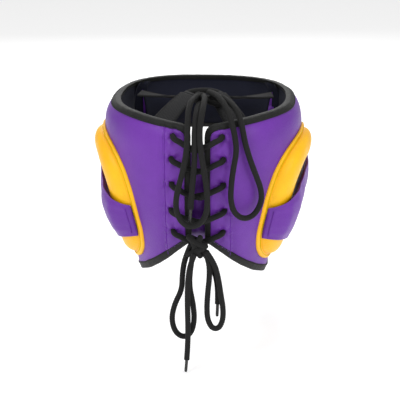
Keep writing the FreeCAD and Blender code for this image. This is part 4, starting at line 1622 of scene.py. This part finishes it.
def puffed(shape: Shape, held: Array, most: float, pressure: float = 4.0) -> Shape:
    """Fill a closed cover like a stuffed pad, with a short cloth simulation.

    Args:
        shape: the cover before it is stuffed.
        held: one number for each point, 1 where it may not move and 0 where it is free.
        most: how far a point may move.
        pressure: how hard it is stuffed.

    Returns:
        The stuffed form.
    """
    mesh = bpy.data.meshes.new("stuffing")
    mesh.from_pydata(shape.points.tolist(), [], shape.faces)
    pad = bpy.data.objects.new("stuffing", mesh)
    bpy.context.scene.collection.objects.link(pad)
    group = pad.vertex_groups.new(name="held")
    for index in np.nonzero(held > 0.5)[0]:
        group.add([int(index)], 1.0, "REPLACE")
    cloth = pad.modifiers.new("cloth", "CLOTH")
    cloth.settings.quality = 4
    cloth.settings.mass = 0.3
    cloth.settings.tension_stiffness = 12.0
    cloth.settings.compression_stiffness = 12.0
    cloth.settings.bending_stiffness = 0.6
    cloth.settings.use_pressure = True
    cloth.settings.uniform_pressure_force = pressure
    cloth.settings.vertex_group_mass = "held"
    cloth.settings.effector_weights.gravity = 0.0
    scene = bpy.context.scene
    for frame in range(1, 21):
        scene.frame_set(frame)
    ready = pad.evaluated_get(bpy.context.evaluated_depsgraph_get())
    moved = np.array([vertex.co[:] for vertex in ready.data.vertices])
    bpy.data.objects.remove(pad)
    bpy.data.meshes.remove(mesh)
    scene.frame_set(1)
    shift = moved - shape.points
    far = np.linalg.norm(shift, axis=1, keepdims=True)
    shift = shift * np.minimum(1.0, most / np.maximum(far, GRIP)) * (1 - held)[:, None]
    LOG.info("stuffed a cover: moved %.1f mm at most", float(np.linalg.norm(shift, axis=1).max()) / MM)
    return Shape(shape.points + shift, shape.faces, shape.uvs)


@dataclass
class CheekGuard:
    """Raised cheek pad and the wing that crosses the ear ring from it. Places are millimetres and degrees."""

    ear: EarGuard
    pad: SidePad
    high: float = 15.6
    roll: float = 13.0
    rear_turns: tuple[float, float] = (-50.0, 20.0)
    rear_heights: tuple[float, float] = (-45.5, -15.0)
    front_angle: float = 121.0
    thick: float = 6.6
    top_corners: tuple[Span, ...] = ((30, -17), (45, -12), (58, -3), (80, 8), (100, 14), (127, 18))
    low_corners: tuple[Span, ...] = ((30, -43), (42, -46), (50, -49), (71, -58), (100, -70),
                                                    (127, -84))

    def cheek(self) -> Shape:
        """Return the stuffed cheek pad."""
        region, oval = self.pad.region, self.ear.oval

        def depth(angle: Array, z: Array) -> Array:
            """Return how far inside the raised pad each place is."""
            place = FORM.point(angle, z)
            y = place[..., 1]
            edges = [region.depth(angle, z) - 8.0 * MM, -28.0 * MM - y, y + 92.0 * MM, 18.0 * MM - z,
                     oval.outside(place, 0.8 * MM)]
            return np.min(edges, axis=0)

        def top(angle: Array, z: Array, deep: Array) -> Array:
            """Return the lift of the pad's face, rounded to its edge."""
            share = np.clip(deep / (self.roll * MM), 0.0, 1.0)
            return 0.4 * MM + (self.high - 2.2) * MM * (1 - (1 - share) ** 2.3) ** (1 / 2.3)

        shape = patch((1.7, 2.75), (-0.105, 0.022), 2.4 * MM, depth, top,
                      lambda angle, z, deep: -0.4 * MM + 0 * z)
        half = len(shape.points) // 2
        held = np.concatenate([np.zeros(half), np.ones(len(shape.points) - half)])
        height = np.linalg.norm(shape.points[:half] - shape.points[half:], axis=1)
        held[:half] = np.where(height < 2.5 * MM, 1.0, 0.0)
        return puffed(shape, held, 2.0 * MM)

    def under(self, angle: Array, z: Array) -> Array:
        """Return the lift of the wing's underside: down on the welt, over the tube, onto the cheek."""
        over = self.ear.high + 1.2 * MM
        rear = np.degrees(angle) < 75.0
        low, high = 0 * z, 0 * z + over
        for _ in range(14):
            middle = (low + high) / 2
            grow = self.ear.oval.outside(FORM.point(angle, z, middle), 0.0)
            share = np.clip(abs(grow + 19.5 * MM) / (17.6 * MM), 0.0, 1.0)
            flank = np.maximum(over * (1 - share ** 3.0) ** (1 / 3.0), 3.6 * MM)
            bridge = over - 2.6 * MM * step_up(-grow, 30 * MM, 52 * MM)
            wanted = np.where(rear & (grow > -19.5 * MM), flank, bridge)
            low, high = np.where(wanted > middle, middle, low), np.where(wanted > middle, high, middle)
        return high

    def wing(self) -> tuple[Shape, Shape]:
        """Return the stuffed wing, and the stitches that hold its rear end to the welt."""
        top = outline([(math.radians(a), h * MM) for a, h in self.top_corners], [0, 9, 9, 12, 12, 0])
        low = outline([(math.radians(a), h * MM) for a, h in self.low_corners], [0, 8, 8, 12, 12, 0])
        turns = degrees(*np.linspace(*self.rear_turns, 80))
        end = self.ear.oval.point(turns, -2.4 * MM, 3.0 * MM)
        end_angle = np.arctan2(end[:, 0], end[:, 1])
        way = np.linspace(0.0, 2 * math.pi, 44, endpoint=False)[None]
        share = 0.5 + 0.5 * np.sign(np.cos(way)) * abs(np.cos(way)) ** 0.8
        rise = np.sign(np.sin(way)) * abs(np.sin(way)) ** 0.62
        along = np.linspace(0.0, 1.0, 120)[:, None]
        height_there = self.rear_heights[0] + (self.rear_heights[1] - self.rear_heights[0]) * share
        start = np.interp(height_there * MM, end[:, 2], end_angle)
        angle = start + along * (math.radians(self.front_angle) - start)
        high, floor = np.interp(angle, top[:, 0], top[:, 1]), np.interp(angle, low[:, 0], low[:, 1])
        z = floor + (high - floor) * share
        base = self.under(angle, z)
        from_end = np.linalg.norm(FORM.point(angle, z) - FORM.point(start + 0 * angle, z), axis=-1)
        full = (1.9 + (self.thick - 1.9) * step_up(from_end, 5.0 * MM, 19.0 * MM)) * MM
        crown = 2.2 * MM * (1 - (2 * share - 1) ** 2) * step_up(from_end, 6 * MM, 22 * MM)
        belly = 1 - abs(2 * share - 1) ** 2.6
        lift = base + full * np.where(rise > 0, 0.4 + 0.6 * rise * belly, 0.4 + 0.4 * rise)
        lift = lift + np.where(rise > 0, crown, 0.0)
        place = FORM.point(angle, z)
        pull = np.exp(-from_end / (16 * MM)) * step_up(from_end, 2 * MM, 5 * MM)
        folds = np.cos(share * 2 * math.pi * 4.5 + 1.0) * 0.6 * MM * pull
        lift = lift + np.where(rise > 0, folds + ripple(place, 22 * MM, 2.0) * 0.5 * MM, 0.0)
        grid = FORM.point(angle, z, lift)
        seam_share = np.linspace(0.07, 0.93, 30)
        seam_height = self.rear_heights[0] + (self.rear_heights[1] - self.rear_heights[0]) * seam_share
        seam_angle = np.interp(seam_height * MM, end[:, 2], end_angle) + 0.034
        seam_lift = self.under(seam_angle, seam_height * MM) + 2.15 * MM
        seam = FORM.point(seam_angle, seam_height * MM, seam_lift)
        outward = FORM.outward(seam_angle, seam_height * MM)
        stitches = Stitch(2.6 * MM, 3.4 * MM, 0.42 * MM).along(seam, outward)
        return lattice(grid, caps=True), stitches

    def build(self, finishes: Finishes) -> None:
        """Make the guard of both cheeks."""
        cheek, (wing, stitches) = self.cheek(), self.wing()
        for side in Side:
            body = side.body
            pad = piece(side.named("cheek_cover"), cheek.on(side), finishes.purple, body, "purple_leather",
                        [side.named("cheek_cover"), side.named("cheek_foam")])
            pad = piece(side.named("cheek_wing"), wing.on(side), finishes.purple, body, "purple_leather",
                        [side.named("cheek_wing")])
            piece(side.named("wing_seam"), stitches.on(side), finishes.thread_purple, body, "purple_leather")


@dataclass
class Tongue:
    """Soft pad inside the lacing gap. Places are millimetres."""

    half: float = 30.0
    low: float = -48.0
    high: float = 46.0

    def build(self, finishes: Finishes) -> None:
        """Make the tongue, which bulges into the gap."""
        def depth(angle: Array, z: Array) -> Array:
            """Return how far inside the rounded outline each place is."""
            x = abs(FORM.point(angle, z, -20 * MM)[..., 0])
            a = x - (self.half - 9.0) * MM
            b = abs(z - (self.low + self.high) / 2 * MM) - (self.high - self.low - 18.0) / 2 * MM
            corner = np.hypot(np.maximum(a, 0.0), np.maximum(b, 0.0)) + np.minimum(np.maximum(a, b), 0.0)
            return 9.0 * MM - corner

        def top(angle: Array, z: Array, deep: Array) -> Array:
            """Return the lift of the face that bulges into the lacing gap."""
            flat = -FORM.thickness(z) - 2.6 * MM
            x = FORM.point(angle, z, -20 * MM)[..., 0]
            bulge = np.exp(-(x / (13 * MM)) ** 2) * step_up(deep, 0.0, 16 * MM)
            soft = (0.5 + 0.5 * np.cos(2 * math.pi * z / (15.5 * MM))) * 0.9 * MM
            soft = soft * step_up(deep, 3 * MM, 10 * MM)
            return flat + bulge * (-12.0 * MM - flat) - 1.7 * MM * np.exp(-deep / (3 * MM)) - soft

        def bottom(angle: Array, z: Array, deep: Array) -> Array:
            """Return the lift of the face towards the head."""
            return -FORM.thickness(z) - 7.0 * MM + 1.6 * MM * np.exp(-deep / (3 * MM))

        shape = patch((-0.5, 0.5), (-0.05, 0.048), 1.9 * MM, depth, top, bottom)
        pad = piece("tongue", shape, finishes.purple, ROOT, "purple_leather", ["tongue"])


# ------------------------------------------------------------------ straps
@dataclass
class CrownStraps:
    """Two webbing straps over the crown, each a V with a lace channel at its point. Left side, metres."""

    rear_wall: Route = ((0.051, 0.066, 0.068), (0.027, 0.080, 0.068))
    temple_wall: Route = ((0.072, -0.028, 0.076), (0.069, -0.052, 0.076))
    tip: Route = ((0.023, 0.006, 0.086), (0.007, 0.027, 0.086))
    thick: float = 2.1 * MM
    channel: float = 4.45 * MM

    def arm(self, start: Route, drop: float, sag: float) -> tuple[Shape, Shape]:
        """Make one arm of the V.

        Args:
            start: the two corners at the wall.
            drop: how far this ply lies under the other.
            sag: how far its middle hangs.

        Returns:
            The strap and its edge stitches.
        """
        share = np.linspace(0.0, 1.0, 40)[:, None]
        first = np.array(start[0]) + share * (np.array(self.tip[0]) - np.array(start[0]))
        second = np.array(start[1]) + share * (np.array(self.tip[1]) - np.array(start[1]))
        hang = np.sin(math.pi * share) * sag + drop - self.thick / 2
        down = np.array([0.0, 0.0, -1.0]) * hang
        middle, wide = (first + second) / 2 + down, second - first
        width = np.linalg.norm(wide, axis=1)
        across = unit(wide)
        up = unit(np.cross(directions(middle), across))
        up = up * np.sign(up[:, 2:])
        stretch = np.stack([width, np.ones(40)], axis=1)[:, None]
        section = flat_section(1.0, self.thick, 0.35, 28)[None] * stretch
        strap = swept(middle, section, across, up)
        seams = []
        for edge in (-0.42, 0.42):
            run = middle + across * (edge * width)[:, None] + up * (self.thick / 2)
            seams.append(Stitch(2.2 * MM, 3.2 * MM, 0.35 * MM).along(run[2:-2], up[2:-2]))
        return strap, joined(seams)

    def sleeve(self) -> Shape:
        """Return the folded end that the lace runs through."""
        foot, head = np.array(self.tip[0]), np.array(self.tip[1])
        along = unit(head - foot)
        aside = np.array([-along[1], along[0], 0.0])
        start = foot + aside * (self.channel + 0.25 * MM) + along * 2.0 * MM
        long = float(np.linalg.norm(head - foot)) - 4.0 * MM
        turn = np.linspace(0.0, 2 * math.pi, 36, endpoint=False)
        ring = np.stack([np.cos(turn), np.sin(turn)], axis=1)
        inner = 0.66
        wall = [(0.0, 0.9), (0.0, inner), (0.5, inner), (1.0, inner), (1.0, 0.9), (0.96, 1.0), (0.5, 1.0),
                (0.04, 1.0)]
        grid = []
        for c, s in ring:
            spoke = (aside * -c + np.array([0, 0, 1.0]) * s) * self.channel
            grid.append([start + along * (long * a) + spoke * r for a, r in wall])
        return lattice(np.array(grid), wrap_rows=True)

    def build(self, finishes: Finishes) -> None:
        """Make the straps of both sides."""
        rear, rear_seam = self.arm(self.rear_wall, -self.thick - 0.05 * MM, -1.5 * MM)
        front, front_seam = self.arm(self.temple_wall, 0.2 * MM, 1.5 * MM)
        sleeve = self.sleeve()
        for side in Side:
            body = side.body
            name = side.named("crown_rear_strap")
            piece(name, joined([rear, sleeve]).on(side), finishes.webbing, body, "black_webbing", [name])
            piece(name + "_seam", rear_seam.on(side), finishes.thread_dark, body, "black_webbing")
            name = side.named("crown_front_strap")
            piece(name, front.on(side), finishes.webbing, body, "black_webbing", [name])
            piece(name + "_seam", front_seam.on(side), finishes.thread_dark, body, "black_webbing")


@dataclass
class ChinStrap:
    """The two halves of the chin strap, folded up inside the cheeks. Places are metres, for the left side."""

    place: tuple[float, float, float] = (0.042, -0.027, -0.0935)
    drop: float = 5.2 * MM
    lean: float = 10.0
    wide: float = 25.0 * MM
    long: float = 68.0 * MM
    pad_long: float = 40.0 * MM
    ring_reach: tuple[float, float, float] = (0.0068, 0.0, 0.008)
    tab_high: float = 18.0 * MM

    def folded(self, points: Sequence[tuple[float, float]], wide: float, thick: float) -> Shape:
        """Carry a flat section along a folded line drawn as (x, z) millimetres."""
        path = curved([(x * MM, 0.0, z * MM) for x, z in points], 0.8 * MM)
        across = np.tile(np.array([0.0, 1.0, 0.0]), (len(path), 1))
        return swept(path, flat_section(wide, thick, 0.35, 28), across, np.cross(directions(path), across))

    def strap(self) -> Shape:
        """Return the doubled strap that loops round the ring's lower bar."""
        top = self.long / MM
        points = [(-0.62, top - 0.6), (-0.62, top - 14), (-0.62, 30), (-0.62, 12), (-0.8, 6), (-2.3, 2.6),
                  (-2.7, -1.0), (0.0, -3.3), (2.7, -1.0), (2.3, 2.6), (0.8, 6), (0.62, 12), (0.62, 30),
                  (0.62, top - 14),
                  (0.62, top - 0.6)]
        fold = [(-0.62, top - 1.0), (-0.5, top - 0.2), (0.5, top - 0.2), (0.62, top - 1.0)]
        end = self.folded(fold, self.wide, 1.1 * MM)
        return joined([self.folded(points, self.wide, 1.12 * MM), end])

    def patch_of_pile(self, outward: float) -> Shape:
        """Return the hook or loop pad, which lies on one face of the strap."""
        low, high = (self.long - self.pad_long) / MM, self.long / MM
        x = outward * 1.85
        points = [(x, low + 0.5), (x, low + 8), (x, (low + high) / 2), (x, high - 8), (x, high - 1.5)]
        return self.folded(points, self.wide - 3.4 * MM, 1.1 * MM)

    def seams(self) -> Shape:
        """Return the box stitching above the ring and along the strap."""
        runs = []
        half = self.wide / 2 - 2.0 * MM
        for z in (9.0, 21.0):
            row = np.linspace(-half, half, 12)
            runs.append(np.stack([0 * row + 1.2 * MM, row, 0 * row + z * MM], axis=1))
        for y in (-half, half):
            row = np.linspace(9.0 * MM, 26.0 * MM, 12)
            runs.append(np.stack([0 * row + 1.2 * MM, 0 * row + y, row], axis=1))
        out = np.tile(np.array([1.0, 0.0, 0.0]), (12, 1))
        return joined([Stitch(2.2 * MM, 3.0 * MM, 0.35 * MM).along(run, out) for run in runs])

    def tab(self) -> Shape:
        """Return the leather tab that holds the ring's upper bar to the lining."""
        high = self.tab_high / MM
        points = [(2.5, high), (2.5, high / 2), (2.55, 2.0), (2.4, -1.4), (0.0, -3.3), (-2.6, -1.4),
                  (-2.3, 2.0), (0.3, 5.0), (0.75, 9.0), (0.75, high - 2.0)]
        return self.folded(points, 20.0 * MM, 1.6 * MM)

    def stood(self, shape: Shape, drop: float) -> Shape:
        """Lean a form drawn at the ring's bar and set it in its place.

        Args:
            shape: the form, drawn upright at the origin.
            drop: how much lower it sits.

        Returns:
            The form in place.
        """
        c, s = math.cos(math.radians(self.lean)), math.sin(math.radians(self.lean))
        x, y, z = shape.points.T
        points = np.stack([x * c + z * s, y, z * c - x * s], axis=1)
        return Shape(points, shape.faces, shape.uvs).moved(np.array(self.place) - np.array([0.0, 0.0, drop]))

    def build(self, finishes: Finishes, frame: dict) -> None:
        """Make both halves; the rings stay as they are and get their finish."""
        strap, seams, tab = self.strap(), self.seams(), self.tab()
        for side, drop, outward, pad in ((Side.LEFT, 0.0, -1.0, "chin_hook_pad"),
                                         (Side.RIGHT, self.drop, 1.0, "chin_loop_pad")):
            name = side.named("chin_strap")
            body = side.strap_body
            piece(name, self.stood(strap, drop).on(side), finishes.webbing, body, "black_webbing", [name])
            piece(name + "_seam", self.stood(seams, drop).on(side), finishes.thread_dark, body,
                  "black_webbing")
            pile = self.stood(self.patch_of_pile(outward), drop)
            piece(pad, pile.on(side), finishes.pile, body, "hook_and_loop", [pad])
            name = side.named("chin_tab")
            seat = np.array(self.place) + np.array(self.ring_reach) - np.array([0.0, 0.0, drop])
            piece(name, tab.moved(seat).on(side), finishes.edging, side.body, "black_leather", [name])
            ring = frame["nodes"][side.named("chin_ring")]
            ring.data.materials.clear()
            ring.data.materials.append(finishes.steel)
            ring.data.shade_smooth()


# ------------------------------------------------------------------ studio
@dataclass
class Studio:
    """Pale floor, soft lights and the camera."""

    distance: float = 1.3
    azimuth: float = 183.4
    elevation: float = 17.0
    lens: float = 111.4
    aim: tuple[float, float] = (-0.0037, -0.0269)   # where the camera looks, right of and above the origin

    def camera(self) -> None:
        """Place the camera behind the headgear, looking a little down."""
        az, el = math.radians(self.azimuth), math.radians(self.elevation)
        back = Vector((math.sin(az) * math.cos(el), -math.cos(az) * math.cos(el), math.sin(el)))
        right = Vector((0.0, 0.0, 1.0)).cross(back).normalized()
        up = back.cross(right)
        eye = back * self.distance
        target = right * self.aim[0] + up * self.aim[1]
        data = bpy.data.cameras.new("camera")
        data.lens = self.lens
        data.sensor_width = 36.0
        data.clip_start = 0.05
        camera = bpy.data.objects.new("camera", data)
        camera.location = eye
        camera.rotation_euler = (target - eye).to_track_quat("-Z", "Y").to_euler()
        bpy.context.scene.collection.objects.link(camera)
        bpy.context.scene.camera = camera

    def lights(self) -> None:
        """Hang soft panels round the headgear and light the room evenly."""
        bpy.context.scene.view_settings.view_transform = "Standard"
        panels = (("panel_key", (0.75, 1.1, 0.95), 0.6, 8.0), ("panel_fill", (-0.95, 1.0, 0.55), 0.6, 5.5),
                  ("panel_top", (0.0, -0.1, 1.35), 0.8, 6.0), ("panel_front", (0.2, -1.3, 0.7), 1.2, 6.0))
        for name, place, size, watts in panels:
            data = bpy.data.lights.new(name, "AREA")
            data.size = size
            data.energy = watts
            light = bpy.data.objects.new(name, data)
            light.location = place
            light.rotation_euler = (-Vector(place)).to_track_quat("-Z", "Y").to_euler()
            bpy.context.scene.collection.objects.link(light)
        world = bpy.data.worlds.new("room")
        world.use_nodes = True
        world.node_tree.nodes["Background"].inputs["Color"].default_value = (1.0, 1.0, 1.0, 1.0)
        world.node_tree.nodes["Background"].inputs["Strength"].default_value = 0.55
        bpy.context.scene.world = world

    def floor(self, low: float) -> None:
        """Lay the floor just under the lowest point."""
        graph = Graph("floor_paper")
        fibres = graph.noise(240.0, 4.0)
        graph.set(Base_Color=graph.mixed(fibres * 0.2, (0.95, 0.95, 0.95), (0.9, 0.9, 0.9)), Roughness=0.9)
        graph.set(Emission_Color=(1.0, 1.0, 1.0, 1.0), Emission_Strength=0.3)
        mesh = bpy.data.meshes.new("floor")
        half = 6.0
        mesh.from_pydata([(-half, -half, low), (half, -half, low), (half, half, low), (-half, half, low)], [],
                         [(0, 1, 2, 3)])
        mesh.materials.append(graph.material)
        floor = bpy.data.objects.new("floor", mesh)
        bpy.context.scene.collection.objects.link(floor)
        floor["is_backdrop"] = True


def main() -> tuple:
    """Build the headgear.

    Returns:
        The box of the frame, measured before anything is added.
    """
    logging.basicConfig(level=logging.INFO, format="%(name)s: %(message)s")
    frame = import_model()
    frame_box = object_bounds()
    studio = Studio()
    studio.camera()
    finishes = Finishes()
    laces = Laces()
    laces.free_ends(finishes)
    laces.back(finishes)
    laces.knots(finishes)
    laces.crown_tie(finishes)
    ear = EarGuard()
    pad = SidePad()
    pad.build(finishes, ear)
    ForeheadPad().build(finishes)
    ear.build(finishes)
    CheekGuard(ear, pad).build(finishes)
    Tongue().build(finishes)
    CrownStraps().build(finishes)
    ChinStrap().build(finishes, frame)
    studio.lights()
    studio.floor(frame_box[0][2] - 1.0 * MM)
    return frame_box


if __name__ == "__main__":
    cad_box = main()
